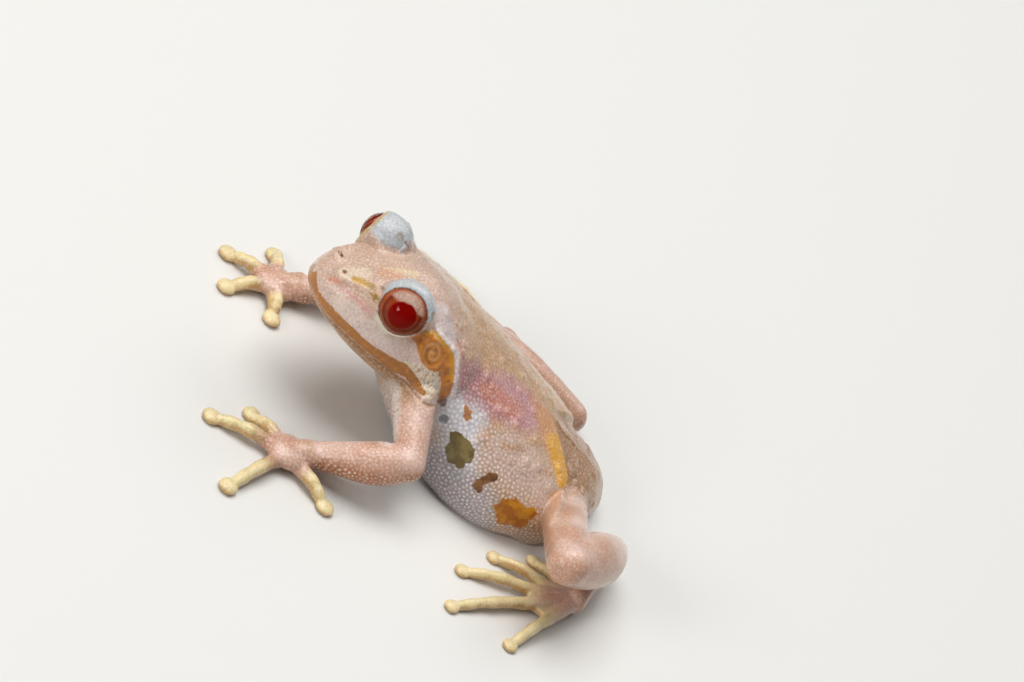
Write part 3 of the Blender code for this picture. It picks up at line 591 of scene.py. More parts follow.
def web(shape, instep, first, second):
    """The skin between two toes, hollowed along its free edge."""
    rings = []
    for share in WEB_SHARES:
        a, b = instep.lerp(first, share), instep.lerp(second, share)
        middle = (a + b) / 2 - ((a + b) / 2 - instep).normalized() * WEB_HOLLOW
        ring = [a, middle, b]
        low = [Vector((p.x, p.y, WEB_FLOOR)) for p in ring]
        high = [Vector((p.x, p.y, WEB_FLOOR + WEB_THICKNESS)) for p in reversed(ring)]
        rings.append(low + high)
    skin_rings(shape, rings)


def arm_rows(name, sign):
    """The bent axes of one upper arm and its forearm."""
    upper = limb_rows(SHOULDER[name], ELBOW[name], (0, 0, 0.2))
    fore = limb_rows(ELBOW[name], WRIST[name], (sign * 0.35, 0, 0.1))
    return upper, fore


def bulge_limbs(shape):
    for name, sign in SIDES:
        upper, fore = arm_rows(name, sign)
        limb(shape, upper, UPPER_ARM_RADII)
        limb(shape, fore, FOREARM_RADII)
        limb(shape, limb_rows(HIP[name], KNEE[name], (0, -0.4, 0.3)), THIGH_RADII)
        limb(shape, limb_rows(KNEE[name], HEEL[name], (0, 0.5, 0.1)), SHANK_RADII)
        limb(shape, limb_rows(HEEL[name], INSTEP[name], (0, 0, 0)), TARSUS_RADII)
        hand(shape, name)
        foot(shape, name)


def add_object(name, data):
    made = bpy.data.objects.new(name, data)
    bpy.context.scene.collection.objects.link(made)
    return made


def applied(piece):
    """The object's mesh with its modifiers worked in."""
    graph = bpy.context.evaluated_depsgraph_get()
    mesh = bpy.data.meshes.new_from_object(piece.evaluated_get(graph))
    piece.modifiers.clear()
    old = piece.data
    piece.data = mesh
    bpy.data.meshes.remove(old)
    return piece


def rows_of(items, key, width, kind):
    """What a mesh's items hold under the key, one row for each."""
    values = np.empty(len(items) * width, kind)
    items.foreach_get(key, values)
    return values.reshape(-1, width)


def vertices_of(mesh):
    return rows_of(mesh.vertices, "co", 3, np.float32).astype(float)


def normals_of(mesh):
    return rows_of(mesh.vertex_normals, "vector", 3, np.float32).astype(float)


def edges_of(mesh):
    return rows_of(mesh.edges, "vertices", 2, np.int32)


def fused_skin(grid):
    """All the swellings as one closed surface on a fine grid."""
    shape = bmesh.new()
    bulge_head(shape)
    bulge_trunk(shape)
    bulge_limbs(shape)
    bmesh.ops.recalc_face_normals(shape, faces=shape.faces)
    mesh = bpy.data.meshes.new("skin")
    shape.to_mesh(mesh)
    shape.free()
    body = add_object("skin", mesh)
    remesh = body.modifiers.new("Fuse", "REMESH")
    remesh.mode = "VOXEL"
    remesh.voxel_size = grid / MM
    remesh.adaptivity = 0.0
    applied(body)
    keep_largest(body)
    return body


def keep_largest(piece):
    """Drops the inner surfaces that fusing leaves: every body but the one with most points."""
    mesh = piece.data
    edges = edges_of(mesh)
    label = np.arange(len(mesh.vertices))
    while True:
        low = np.minimum(label[edges[:, 0]], label[edges[:, 1]])
        fresh = label.copy()
        np.minimum.at(fresh, edges[:, 0], low)
        np.minimum.at(fresh, edges[:, 1], low)
        fresh = fresh[fresh]
        if np.array_equal(fresh, label):
            break
        label = fresh
    names, sizes = np.unique(label, return_counts=True)
    if len(names) == 1:
        return
    drop = np.nonzero(label != names[sizes.argmax()])[0]
    shape = bmesh.new()
    shape.from_mesh(mesh)
    shape.verts.ensure_lookup_table()
    bmesh.ops.delete(shape, geom=[shape.verts[i] for i in drop], context="VERTS")
    shape.to_mesh(mesh)
    shape.free()


# Fields over the skin.

def ramp(value, low, high):
    """0 below low, 1 above high and a smooth rise between."""
    t = np.clip((value - low) / (high - low), 0, 1)
    return t * t * (3 - 2 * t)


def hump(distance, width):
    return np.exp(-((distance / width) ** 2))


def distance_to(points, place):
    return np.linalg.norm(points - np.array(place), axis=1)


FAR = 5.0               # a distance in millimetres at which no mark reaches a vertex


def about(points, line):
    """Which points lie so near to the line that its distance matters."""
    return ((points > line.min(axis=0) - FAR) & (points < line.max(axis=0) + FAR)).all(axis=1)


def line_distance(points, line):
    """Distance from each point to a broken line, and how far along it the nearest place is."""
    line = np.array(line, float)
    reached = about(points, line)
    places = points[reached]
    best = np.full(len(places), 1e9)
    share = np.zeros(len(places))
    for i in range(len(line) - 1):
        step = line[i + 1] - line[i]
        t = np.clip(((places - line[i]) @ step) / max(step @ step, 1e-9), 0, 1)
        away = np.linalg.norm(places - line[i] - t[:, None] * step, axis=1)
        nearer = away < best
        best[nearer] = away[nearer]
        share[nearer] = (i + t[nearer]) / (len(line) - 1)
    all_best = np.full(len(points), FAR)
    all_share = np.zeros(len(points))
    all_best[reached] = np.minimum(best, FAR)
    all_share[reached] = share
    return all_best, all_share


def outline_distance(points, outline):
    """Distance to a closed outline, negative inside it."""
    closed = np.array(list(outline) + [outline[0]], float)
    away, _ = line_distance(points, closed)
    reached = about(points, closed)
    places = points[reached]
    inside = np.zeros(len(places), bool)
    for (x0, y0), (x1, y1) in zip(closed, closed[1:]):
        if y0 == y1:
            continue
        spans = (y0 > places[:, 1]) != (y1 > places[:, 1])
        crossing = x0 + (places[:, 1] - y0) * (x1 - x0) / (y1 - y0)
        inside ^= spans & (places[:, 0] < crossing)
    away[reached] = np.where(inside, -away[reached], away[reached])
    return away


def ripple(points, scale, seed=0.0):
    """Smooth noise from -1 to 1 whose lumps are about the given size."""
    shifted = points / scale + seed
    return np.array([noise.noise(p) for p in map(Vector, shifted)]) * 1.6


class Fields:
    """Where each vertex lies, in the frames of the head, the trunk and the side view."""

    def __init__(self, points, normals):
        self.points = points
        self.normals = normals
        self.head = self.in_axes(points - np.array(MID_EYE), HEAD_AXES)
        self.trunk = self.in_axes(points - np.array(BACK_START), TRUNK_AXES)
        self.is_right_head = self.head[:, 1] < 0
        self.is_right_trunk = self.trunk[:, 1] < 0.5
        self.face, self.face_turn = self.side_view(HEAD_AXES, MID_EYE, self.head, self.is_right_head)
        self.flank, self.flank_turn = self.side_view(
            TRUNK_AXES, BACK_START, self.trunk, self.is_right_trunk
        )

        seen = normals @ np.array(SIDE_OUT)
        self.right_rim = self.is_right_head * ramp(seen, -0.55, -0.15)

    @staticmethod
    def in_axes(offsets, axes):
        return np.stack([offsets @ np.array(axis) for axis in axes], axis=1)

    def side_view(self, axes, origin, local, mirrored):
        """Places on the side plane, with the right side mirrored, and how much each faces it."""
        frame_rows = np.array([list(axis) for axis in axes])
        local = local.copy()
        local[mirrored, 1] *= -1
        turned = self.in_axes(self.normals, axes)
        turned[mirrored, 1] *= -1
        world = local @ frame_rows + np.array(origin) - np.array(MID_EYE)
        normal = turned @ frame_rows
        plane = np.stack([world @ np.array(SIDE_RIGHT), world @ np.array(SIDE_UP)], axis=1)
        return plane, normal @ np.array(SIDE_OUT)

    def ear(self):
        """Distance from the middle of the ear drum, 1 at its rim."""
        offset = self.face - np.array(EAR_SPOT)
        away = np.hypot(offset[:, 0] / EAR_RADII[0], offset[:, 1] / EAR_RADII[1])
        return np.where(self.face_turn > -0.1, away, 9.0)

    def limb_distance(self, rows, radii):
        """Distance from a limb's axis as a share of its radius there, and the place along it."""
        line = [tuple(p) for p in rows]
        away, share = line_distance(self.points, line)
        radius = np.interp(share, np.linspace(0, 1, len(radii)), radii)
        return away / radius, share


def set_vertices(mesh, points):
    mesh.vertices.foreach_set("co", points.astype(np.float32).ravel())
    mesh.update()


def neighbour_mean(points, edges, degree):
    total = np.zeros_like(points)
    for axis in range(3):
        total[:, axis] = (
            np.bincount(edges[:, 0], points[edges[:, 1], axis], len(points))
            + np.bincount(edges[:, 1], points[edges[:, 0], axis], len(points))
        )
    return total / degree[:, None]


def soften(mesh, weight, rounds):
    """Smooths the surface as much as the weight says, without shrinking it."""
    edges = edges_of(mesh)
    points = vertices_of(mesh)
    edges = edges[(weight[edges] > 0).any(axis=1)]
    used, edges = np.unique(edges, return_inverse=True)
    edges = edges.reshape(-1, 2)
    part = points[used]
    degree = np.maximum(np.bincount(edges.ravel(), minlength=len(used)), 1)
    weight = weight[used, None]
    for _ in range(rounds):
        part += 0.6 * weight * (neighbour_mean(part, edges, degree) - part)
    points[used] = part
    set_vertices(mesh, points)


def near(points, spots):
    """1 at the spots and 0 beyond their reach."""
    weight = np.zeros(len(points))
    for centre, reach in spots:
        away = distance_to(points, centre) / reach
        weight = np.maximum(weight, np.clip(1.6 * (1 - away), 0, 1))
    return weight


def joint_spots():
    spots = [(in_head(-8.0, left, -3.0), 5.0) for left in (-5, -2.5, 0, 2.5, 5)]
    for name, sign in SIDES:
        spots += [(SHOULDER[name], 3.4), (ELBOW[name], 2.2), (HIP[name], 4.2)]
        spots += [(HEEL[name], 2.0), (WRIST[name], 1.4)]
        spots.append((in_head(3.0, sign * 3.0, -1.0), 2.6))
        spots.append((in_head(5.1, sign * 1.5, -0.3), 2.0))
        spots.append((in_head(0.0, sign * 3.4, -1.6), 3.4))
        for tip in FINGER_TIPS[name]:
            spots.append((between(PALM[name], (*tip, 0.5), 0.3), 0.9))
    return spots


# Modelling the skin.

def eye_middle(sign):
    """The middle of the left (1) or the right (-1) eye."""
    return in_head(*EYE_MIDDLES[sign])


def eye_frame(sign):
    """The eye's axis, the way to its front and the way up, for the left or the right eye."""
    axis = (HEAD_AXES[0] * EYE_AXIS[0] + HEAD_AXES[1] * sign * EYE_AXIS[1]
            + HEAD_AXES[2] * EYE_AXIS[2]).normalized()
    forward = (HEAD_AXES[0] - axis * axis.dot(HEAD_AXES[0])).normalized()
    up = axis.cross(forward)
    if up.z < 0:
        up = -up
    return axis, forward, up


def lid_place(points, sign):
    """Where points lie about an eye.

    Ways from its middle, distances, degrees past the lids' edge, shares of the upper lid and turns.
    """
    offset = points - np.array(eye_middle(sign))
    reach = np.maximum(np.linalg.norm(offset, axis=1), 1e-6)
    heading = offset / reach[:, None]
    axis, forward, up = (np.array(v) for v in eye_frame(sign))
    angle = np.arccos(np.clip(heading @ axis, -1, 1))
    turn = np.arctan2(heading @ up, heading @ forward)
    upper = ramp(np.cos(turn - LID_TURN), -0.1, 1.0)
    past = np.degrees(angle - LID_EDGE + LID_OVERHANG * upper)
    if sign < 0:
        plane = sum(np.array(way) * share for way, share in zip(HEAD_AXES, FAR_LID))
        hang = np.degrees(np.arccos(np.clip(heading @ plane, -1, 1)) - math.acos(FAR_LID_REACH))
        upper = np.maximum(upper, ramp(hang - past, 0, 12))
        past = np.maximum(past, hang)
    return heading, reach, past, upper, turn


def shape_lids(points, radius):
    """Draws the skin round each eye back to an opening with rolled lids."""
    for sign in (1, -1):
        centre = np.array(eye_middle(sign))
        close = distance_to(points, centre) < LID_REACH
        heading, reach, past, upper, _ = lid_place(points[close], sign)
        high = heading @ np.array(HEAD_AXES[2])
        thick = 0.17 + 0.17 * upper
        lid = radius + LID_GAP + thick * (1 - np.exp(-np.clip(past, 0, None) / 5.0))
        lid -= 0.09 * hump(past - 11, 2.6) * (1 - upper)
        lid += 0.10 * ramp(past, 12, 24) * (1 - upper)
        reshaped = 1 - ramp(past, 16 + 26 * upper, 38 + 26 * upper)
        if sign < 0:
            lid -= 0.14 * ramp(past, 10, 40)
            reshaped = np.maximum(reshaped, ramp(high, 0.10, 0.42))
        outer = reach * (1 - reshaped) + np.minimum(reach, lid) * reshaped
        tuck = ramp(past, -3.6, 0.0)
        fresh = (radius - TUCK) * (1 - tuck) + outer * tuck
        keep = ramp(reach, 3.2, LID_REACH)
        fresh = fresh * (1 - keep) + reach * keep
        points[close] = centre + heading * fresh[:, None]
    return points


def mouth_gap(fields):
    """Height of each vertex over the line of the mouth."""
    forward, _, up = fields.head.T
    return up - (MOUTH_LEVEL + MOUTH_SLOPE * (forward - MOUTH_MIDDLE))


def creases(place, along, across, seed):
    """Fine folds that run one way over the skin: 0 in the creases and 1 on the ridges."""
    turned = np.stack([
        (place[:, 0] * CREASE_WAY[0] + place[:, 1] * CREASE_WAY[1]) / along,
        (place[:, 0] * CREASE_WAY[1] - place[:, 1] * CREASE_WAY[0]) / across,
        np.full(len(place), 0.3),
    ], axis=1)
    return np.clip(np.abs(ripple(turned, 1.0, seed)) * 3.2, 0, 1)


def loose_skin(fields):
    """Where the loose skin of the jaw's corner and of the chest before the arm lies in folds."""
    facing = ramp(fields.face_turn, -0.15, 0.1)
    lobe = outline_distance(fields.face, JAW_LOBE)
    chest, _ = line_distance(fields.face, CHEST_FOLDS)
    return facing * (1 - ramp(lobe, -0.25, 0.2)), facing * (1 - ramp(chest, 0.55, 1.15))


def face_relief(fields):
    """Mouth, lips, nostrils, ear drums and folds of the head, as height along the skin."""
    forward = fields.head[:, 0]
    place = fields.face
    facing = ramp(fields.face_turn, -0.05, 0.2)
    above = mouth_gap(fields)
    on_head = ramp(forward, -6.0, -5.0)
    height = -0.18 * hump(above, 0.09) * on_head
    height += 0.10 * hump(above - 0.5, 0.42) * on_head
    height += 0.06 * hump(above + 0.34, 0.24) * on_head
    nostril = distance_to(place, NOSTRIL_SPOT)
    height += facing * (0.07 * hump(nostril - 0.2, 0.45) - 0.36 * hump(nostril, 0.15))
    ear = fields.ear()
    height += facing * (0.10 * hump(ear - 1.05, 0.16) - 0.10 * hump(ear, 0.8)
                        + 0.05 * hump(ear, 0.25))
    fold, along = line_distance(place, WHITE_EDGE)
    height += facing * 0.16 * hump(fold, 0.30) * ramp(along, 0.0, 0.15)
    crease, _ = line_distance(place, NECK_CREASE)
    height -= facing * 0.08 * hump(crease, 0.08)
    jaw, chest = loose_skin(fields)
    height += jaw * (0.08 + 0.09 * (creases(place, 0.7, 0.22, 2.0) - 0.5))
    height += chest * 0.09 * (creases(place, 0.7, 0.20, 8.0) - 0.5)
    return height


def sprinkle(points, spacing):
    """Middles of the granules: one in each cell of a grid, then pushed apart to lie evenly."""
    picker = np.random.default_rng(5)
    cell = np.floor(points / (spacing * CELL_SHARE) + picker.uniform(0, 1, 3)).astype(np.int64)
    key = cell @ np.array([73856093, 19349663, 83492791])
    order = picker.permutation(len(points))
    _, first = np.unique(key[order], return_index=True)
    seeds = points[order[first]]
    tree = tree_over(seeds)
    dropped = np.zeros(len(seeds), bool)
    for i, seed in enumerate(seeds):
        if dropped[i]:
            continue
        for _, k, _ in tree.find_range(Vector(seed), spacing * LEAST_SHARE):
            if k > i:
                dropped[k] = True
    seeds = seeds[~dropped]
    sample = points[::3]
    for _ in range(3):
        nearest = np.array([entry[1] for entry in map(tree_over(seeds).find, map(Vector, sample))])
        count = np.maximum(np.bincount(nearest, minlength=len(seeds)), 1)
        moved = np.stack(
            [np.bincount(nearest, sample[:, axis], len(seeds)) / count for axis in range(3)], axis=1
        )
        seeds = np.where(count[:, None] > 3, moved, seeds)
    return seeds


def tree_over(points):
    tree = kdtree.KDTree(len(points))
    for i, point in enumerate(points):
        tree.insert(Vector(point), i)
    tree.balance()
    return tree


def granules(points, spacing):
    """For each vertex the rise of its granule, 1 in the middle and 0 between two, and its number."""
    tree = tree_over(sprinkle(points, spacing))
    found = [tree.find_n(Vector(point), 2) for point in points]
    first = np.array([entry[0][2] for entry in found])
    second = np.array([entry[1][2] for entry in found])
    number = np.array([entry[0][1] for entry in found])
    share = 2 * first / np.maximum(first + second, 1e-6)
    return 1 - share**2, number


def behind_fold(fields):
    """How far each vertex lies behind the edge of the flank, before the hip."""
    line = np.array(HIP_FOLD)[::-1]
    edge = np.interp(fields.flank[:, 1], line[:, 1], line[:, 0])
    inside = ramp(fields.flank[:, 1], -21.4, -20.0) * (1 - ramp(fields.flank[:, 1], -14.5, -11.0))
    return fields.flank[:, 0] - edge, inside * ramp(fields.flank_turn, -0.2, 0.1)


def fold_relief(fields):
    away, inside = behind_fold(fields)
    return -0.42 * inside * ramp(away, -0.12, 0.30) * (1 - ramp(away, 0.5, 3.2))


def granule_strength(fields, limbs):
    """How strongly the pearly granules stand out: most on the flank, least on the digits."""
    arm, leg, digits, under = limbs
    side = 1 - ramp(fields.trunk[:, 2], -3.4, 0.2)
    on_trunk = 1 - ramp(fields.head[:, 0], -8.2, -6.6)
    strength = 0.24 + 0.76 * side * on_trunk * (1 - arm) * (1 - leg)
    strength = np.maximum(strength * (1 - 0.4 * leg), 0.34 * arm)
    strength = np.maximum(strength, 0.9 * under)
    for sign in (1, -1):
        heading, reach, past, _, _ = lid_place(fields.points, sign)
        lid = ramp(heading @ np.array(HEAD_AXES[2]), 0.1, 0.4) * (1 - ramp(reach, 2.75, 3.1))
        strength = np.maximum(strength * (1 - lid), 0.22 * lid * ramp(past, 3, 8))
        strength = strength * np.where(reach < 3.0, ramp(past, 1, 5), 1.0)
    return strength * (1 - 0.75 * digits)


def wart_relief(fields, wart_height):
    """Small round warts strewn over the back and the top of the head."""
    along, left, _ = fields.trunk.T
    picker = np.random.default_rng(7)
    top = fields.in_axes(fields.normals, TRUNK_AXES)[:, 2]
    back = np.nonzero((top > 0.25) & (along > -6) & (along < 24) & (np.abs(left) < 8))[0]
    height = np.zeros(len(along))
    places = fields.points[back]
    on_back = np.zeros(len(back))
    for index in picker.choice(len(back), WART_COUNT, replace=False):
        size = picker.uniform(*WART_SIZES)
        rise = picker.uniform(0.35, 1.0) * size / WART_SIZES[1]
        away = distance_to(places, places[index])
        on_back = np.maximum(on_back, rise * hump(away, size))
    height[back] = on_back
    head_height = np.abs(fields.head[:, 1]) + np.abs(fields.head[:, 2]) * 0.5
    calm = ramp(head_height, 2.0, 3.0) * 0.3 + 0.7
    return wart_height * height * calm


def set_field(mesh, name, values):
    layer = mesh.attributes.new(name, "FLOAT", "POINT")
    layer.data.foreach_set("value", values.astype(np.float32))


def blend(under, over, amount):
    """Lays a colour, given as numbers or as a code, over the tint by the amount at each vertex."""
    over = colour(over) if isinstance(over, str) else over
    return under * (1 - amount[:, None]) + np.array(over) * amount[:, None]


def skin_tint(fields, palette):
    """The soft changes of colour over head and trunk, without the sharp marks, with painted shade along
    the hip's fold and under the lip.
    """
    forward, _, up = fields.head.T
    rise = fields.trunk[:, 2]
    coarse = ripple(fields.points, 2.6, 3.1)
    medium = ripple(fields.points, 0.9, 11.7)
    tint = np.tile(np.array(palette.back), (len(forward), 1))
    is_head = ramp(forward, -8.5, -5.0) * ramp(fields.points[:, 2], 3.0, 5.0)
    tint = blend(tint, palette.crown, is_head)
    low = 1 - ramp(up + 0.35 * coarse, -3.0, -1.0)
    tint = blend(tint, palette.cheek, is_head * low)
    above = mouth_gap(fields)
    tint = blend(tint, palette.throat, is_head * (1 - ramp(above, -0.06, 0.06)))
    # A darker brown band just under the mouth line: the jaw's brown rim, with painted shade under the
    # lip.
    tint = blend(tint, "#9A6A3C", is_head * hump(above + 0.30, 0.34) * 0.9)
    tint = blend(tint, "#B79C86", is_head * (1 - ramp(above, -3.2, -1.2)) * 0.8)
    on_trunk = 1 - ramp(forward, -7.5, -5.5)
    side = 1 - ramp(rise + 0.5 * coarse, -4.2, -1.4)
    tint = blend(tint, "#BCA692", on_trunk * side * 0.6)
    under = 1 - ramp(rise + 0.4 * coarse, -7.4, -5.2)
    tint = blend(tint, palette.belly, on_trunk * under)
    for view, line, width, code, amount in STROKES:
        place, turn = fields.face, fields.face_turn
        if view == "flank":
            place, turn = fields.flank, fields.flank_turn
        away, _ = line_distance(place, line)
        uneven = away / width + 0.16 * medium + 0.10 * coarse
        weight = (1 - ramp(uneven, 0.45, 1.25)) * ramp(turn, -0.35, 0.05) * amount
        if view == "face":
            weight *= np.where(fields.is_right_head, 0.35 * (1 - fields.right_rim), 1.0)
        if view == "flank":
            weight *= on_trunk * np.where(fields.is_right_trunk, 1 - ramp(rise, -3.4, -1.8), 1.0)
        tint = blend(tint, code, weight)
    # Painted shade: a darker brown band along the fold before the hip, fading a few millimetres behind
    # it.
    away, inside = behind_fold(fields)
    hip = ramp(away, -0.04, 0.10) * (1 - ramp(away, 1.5, 4.0)) * inside
    tint = blend(tint, "#946A44", hip * 0.8)
    return tint, coarse, medium


def limb_weights(fields):
    """How much each vertex belongs to the arms, the legs, the digits and the arms' lower sides."""
    arm, leg, digits, under = np.zeros((4, len(fields.points)))
    height = fields.points[:, 2]
    for name, sign in SIDES:
        upper_rows, fore_rows = arm_rows(name, sign)
        away, share = fields.limb_distance(upper_rows, UPPER_ARM_RADII)
        arm = np.maximum(arm, (1 - ramp(away, 1.15, 1.5)) * ramp(share, 0.12, 0.4))
        away, _ = fields.limb_distance(fore_rows, FOREARM_RADII)
        fore = 1 - ramp(away, 1.15, 1.4)
        arm = np.maximum(arm, fore)
        under = np.maximum(under, fore * (1 - ramp(fields.normals[:, 2], -0.05, 0.50)))
        flat = distance_to(fields.points[:, :2], PALM[name][:2])
        arm = np.maximum(arm, (1 - ramp(height, 2.0, 3.0)) * (1 - ramp(flat, 2.2, 3.0)))
        for start, end, radii in ((HIP, KNEE, THIGH_RADII), (KNEE, HEEL, SHANK_RADII),
                                  (HEEL, INSTEP, TARSUS_RADII)):
            rows = limb_rows(start[name], end[name], (0, 0, 0.1))
            away, share = fields.limb_distance(rows, radii)
            root = ramp(share, 0.05, 0.3) if start is HIP else 1.0
            leg = np.maximum(leg, (1 - ramp(away, 1.1, 1.35)) * root)
        for tips, heart, root_share in ((FINGER_TIPS, PALM, 0.32), (TOE_TIPS, INSTEP, 0.2)):
            for tip in tips[name]:
                end = (*tip, 0.4)
                line = [tuple(between(heart[name], end, root_share)), end]
                away, share = line_distance(fields.points, line)
                on_digit = (1 - ramp(away, 1.1, 1.5)) * ramp(share, 0.0, 0.35)
                digits = np.maximum(digits, on_digit)
                if tips is TOE_TIPS:
                    leg = np.maximum(leg, 1 - ramp(away, 1.1, 1.5))
    return arm, leg, digits, under


def paint_eyelids(tint, fields, palette, medium):
    for sign in (1, -1):
        heading, reach, past, _, turn = lid_place(fields.points, sign)
        on_eye = 1 - ramp(reach, 2.75, 3.1)
        high = heading @ np.array(HEAD_AXES[2])
        rise = 0.14 if sign > 0 else 0.30
        lid = ramp(high + 0.06 * medium, rise, rise + 0.24) * on_eye
        tint = blend(tint, palette.lid, lid * 0.95)
        if sign > 0:
            low = ramp(np.cos(turn + LOWER_RIM_TURN), 0.60, 0.85) * (1 - ramp(reach, 2.5, 2.75))
            pale = ramp(past, 0, 1.5) * (1 - ramp(past, 10, 12.5))
            tint = blend(tint, "#DDD6C0", pale * low)
            tint = blend(tint, "#A08A58", hump(past - 14, 1.6) * low * 0.7)
        else:
            margin = ramp(past, 0, 1) * (1 - ramp(past, 12, 16)) * on_eye
            tint = blend(tint, "#B49660", margin)
        tint = blend(tint, "#5A2A1A", (1 - ramp(past, -0.3, 0.9)) * on_eye)
    for spot, reach, code, amount in SMUDGES:
        away = distance_to(fields.head, spot) / reach
        tint = blend(tint, code, (1 - ramp(away + 0.3 * medium, 0.5, 1.2)) * amount)
    return tint


def painted_ear_highlight(fields, medium):
    """A painted highlight: soft paler spiral lines of light on the ear drum."""
    ear = fields.ear()
    offset = fields.face - np.array(EAR_SPOT)
    turn = np.arctan2(offset[:, 1], offset[:, 0]) / math.tau
    ear_highlight = 0.5 + 0.5 * np.cos(math.tau * (1.7 * ear - turn + 0.10 * medium))
    return ramp(ear_highlight, 0.35, 1.0) * (1 - ramp(ear, 0.75, 1.15))


def paint(mesh, fields, palette, dome, number, limbs):
    """Stores the soft colour of each vertex, its distance from each sharp mark and its granule."""
    tint, coarse, medium = skin_tint(fields, palette)
    arm, leg, digits, under = limbs
    place = fields.face
    facing = fields.face_turn
    tint = blend(tint, palette.limb, np.maximum(arm, leg * 0.9))
    # Painted sheen: paler, whitish skin on the upper sides of arms and legs, where the light from above
    # falls.
    pale = np.clip(0.5 + 0.9 * coarse, 0, 1) * ramp(fields.normals[:, 2], 0.0, 0.9)
    tint = blend(tint, "#D8BEB2", np.maximum(arm, leg) * pale * 0.55)
    tint = blend(tint, "#A86428", under * (1 - digits) * 0.85)
    elbow = distance_to(fields.points, ELBOW_PATCH)
    tint = blend(tint, "#D9A23A", (1 - ramp(elbow + 0.3 * medium, 0.9, 1.9)) * 0.8 * arm)
    topside = ramp(fields.normals[:, 2] + 0.35 * medium, 0.05, 0.75)
    finger = blend(np.tile(np.array(colour("#C8A468")), (len(tint), 1)), palette.digit, topside)
    tint = tint * (1 - digits[:, None]) + finger * digits[:, None]
    tint = paint_eyelids(tint, fields, palette, medium)
    white, _ = line_distance(place, WHITE_EDGE)
    edge = hump(white - 0.05, 0.17 + 0.09 * medium) * ramp(facing, -0.05, 0.15)
    edge *= (1 - fields.right_rim) * (0.55 + 0.45 * dome)
    tint = blend(tint, "#ECE4E0", edge * 0.9)
    crease, _ = line_distance(place, NECK_CREASE)
    tint = blend(tint, "#C07A68", hump(crease, 0.10) * (facing > 0) * 0.7)
    jaw, chest = loose_skin(fields)
    for weight, across, seed, code in ((jaw, 0.22, 2.0, "#D6C6AC"), (chest, 0.20, 8.0, "#E2D4CC")):
        fold = creases(place, 0.7, across, seed)
        tint = blend(tint, code, weight * 0.8)
        # Painted shade: darker brown in the creases between the folds of the jaw and the chest.
        tint = blend(tint, "#9C7A58", weight * (1 - ramp(fold, 0.1, 0.8)) * 0.5)
    tint = np.clip(tint * (1 + 0.05 * coarse[:, None] + 0.06 * medium[:, None]), 0, 1)
    layer = mesh.color_attributes.new("tint", "FLOAT_COLOR", "POINT")
    rows = np.hstack([tint, np.ones((len(tint), 1))])
    layer.data.foreach_set("color", rows.astype(np.float32).ravel())

    def mark(name, view, turn, outline, cover=0.0):
        away = outline_distance(view, outline) + cover
        set_field(mesh, name, np.where(turn > -0.05, away, 3.0))

    mark("mask", place, facing, EAR_MASK, 1.5 * fields.right_rim)
    mark("lip", place, facing, LIP_STRIPE, 3.0 * (mouth_gap(fields) < 0.0))
    mark("lid_mark", place, facing, LID_MARK, 3.0 * fields.is_right_head)
    edge, _ = line_distance(place, MASK_EDGE)
    set_field(mesh, "mask_edge", edge)
    limb_cover = 3.0 * (np.maximum(arm, leg) > 0.35)
    for name, outline, *_ in SPOTS:
        mark(name, fields.flank, fields.flank_turn, outline, limb_cover)
    set_field(mesh, "pearls", granule_strength(fields, limbs))
    set_field(mesh, "granule", dome)
    set_field(mesh, "tone", np.random.default_rng(9).random(number.max() + 1)[number])
    set_field(mesh, "digits", digits)
    set_field(mesh, "ear_highlight", painted_ear_highlight(fields, medium))
    nostril = distance_to(place, NOSTRIL_SPOT)
    set_field(mesh, "nostril", np.where(facing > -0.1, nostril, 3.0))


def sculpt(body, palette):
    """Presses lids, mouth, ears, folds, warts and granules into the fused skin."""
    mesh = body.data
    rounds = 3
    soften(mesh, near(vertices_of(mesh), joint_spots()), JOINT_ROUNDS * rounds)
    soften(mesh, np.ones(len(mesh.vertices)), SKIN_ROUNDS * rounds)
    set_vertices(mesh, shape_lids(vertices_of(mesh), palette.eye_radius / MM))
    close = near(vertices_of(mesh), [(eye_middle(s), LID_BLEND) for s in (1, -1)])
    soften(mesh, close, rounds)
    fields = Fields(vertices_of(mesh), normals_of(mesh))
    dome, number = granules(fields.points, palette.granule / MM)
    limbs = limb_weights(fields)
    strength = granule_strength(fields, limbs)
    height = face_relief(fields) + wart_relief(fields, palette.wart_height / MM) + fold_relief(fields)
    height += palette.granule_height / MM * strength * (dome - 0.5)
    height += SWELL[0] * ripple(fields.points, SWELL[1], 5.0)
    set_vertices(mesh, fields.points + fields.normals * height[:, None])
    return dome, number, limbs


def into_box(mesh, shift, box):
    """Millimetres to metres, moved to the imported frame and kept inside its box."""
    low, high = (np.array(corner) / MM - shift for corner in box)
    set_vertices(mesh, np.clip(vertices_of(mesh), low + BOX_MARGIN, high - BOX_MARGIN))
    bpy.context.view_layer.update()
    mesh.transform(Matrix.Scale(MM, 4) @ Matrix.Translation(shift))
    mesh.update()


def frog_shift():
    """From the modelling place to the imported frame, found from the eye nodes."""
    middle = Vector()
    for name in ("eye_left", "eye_right"):
        low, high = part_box(name)
        middle += (low + high) / 4
    return np.array(middle) / MM - np.array(MID_EYE)


# Materials.

def node(tree, kind, inputs=(), **values):
    """Adds a shader node with its settings and links, and gives it back."""
    made = tree.nodes.new(kind)
    for name, value in values.items():
        setattr(made, name, value)
    for key, value in dict(inputs).items():
        if isinstance(value, bpy.types.NodeSocket):
            tree.links.new(value, made.inputs[key])
        else:
            made.inputs[key].default_value = value
    return made


def opaque(value):
    """A colour for a node's socket, from a setting or a code; a link passes as it is."""
    if isinstance(value, bpy.types.NodeSocket):
        return value
    return (*(colour(value) if isinstance(value, str) else value), 1.0)


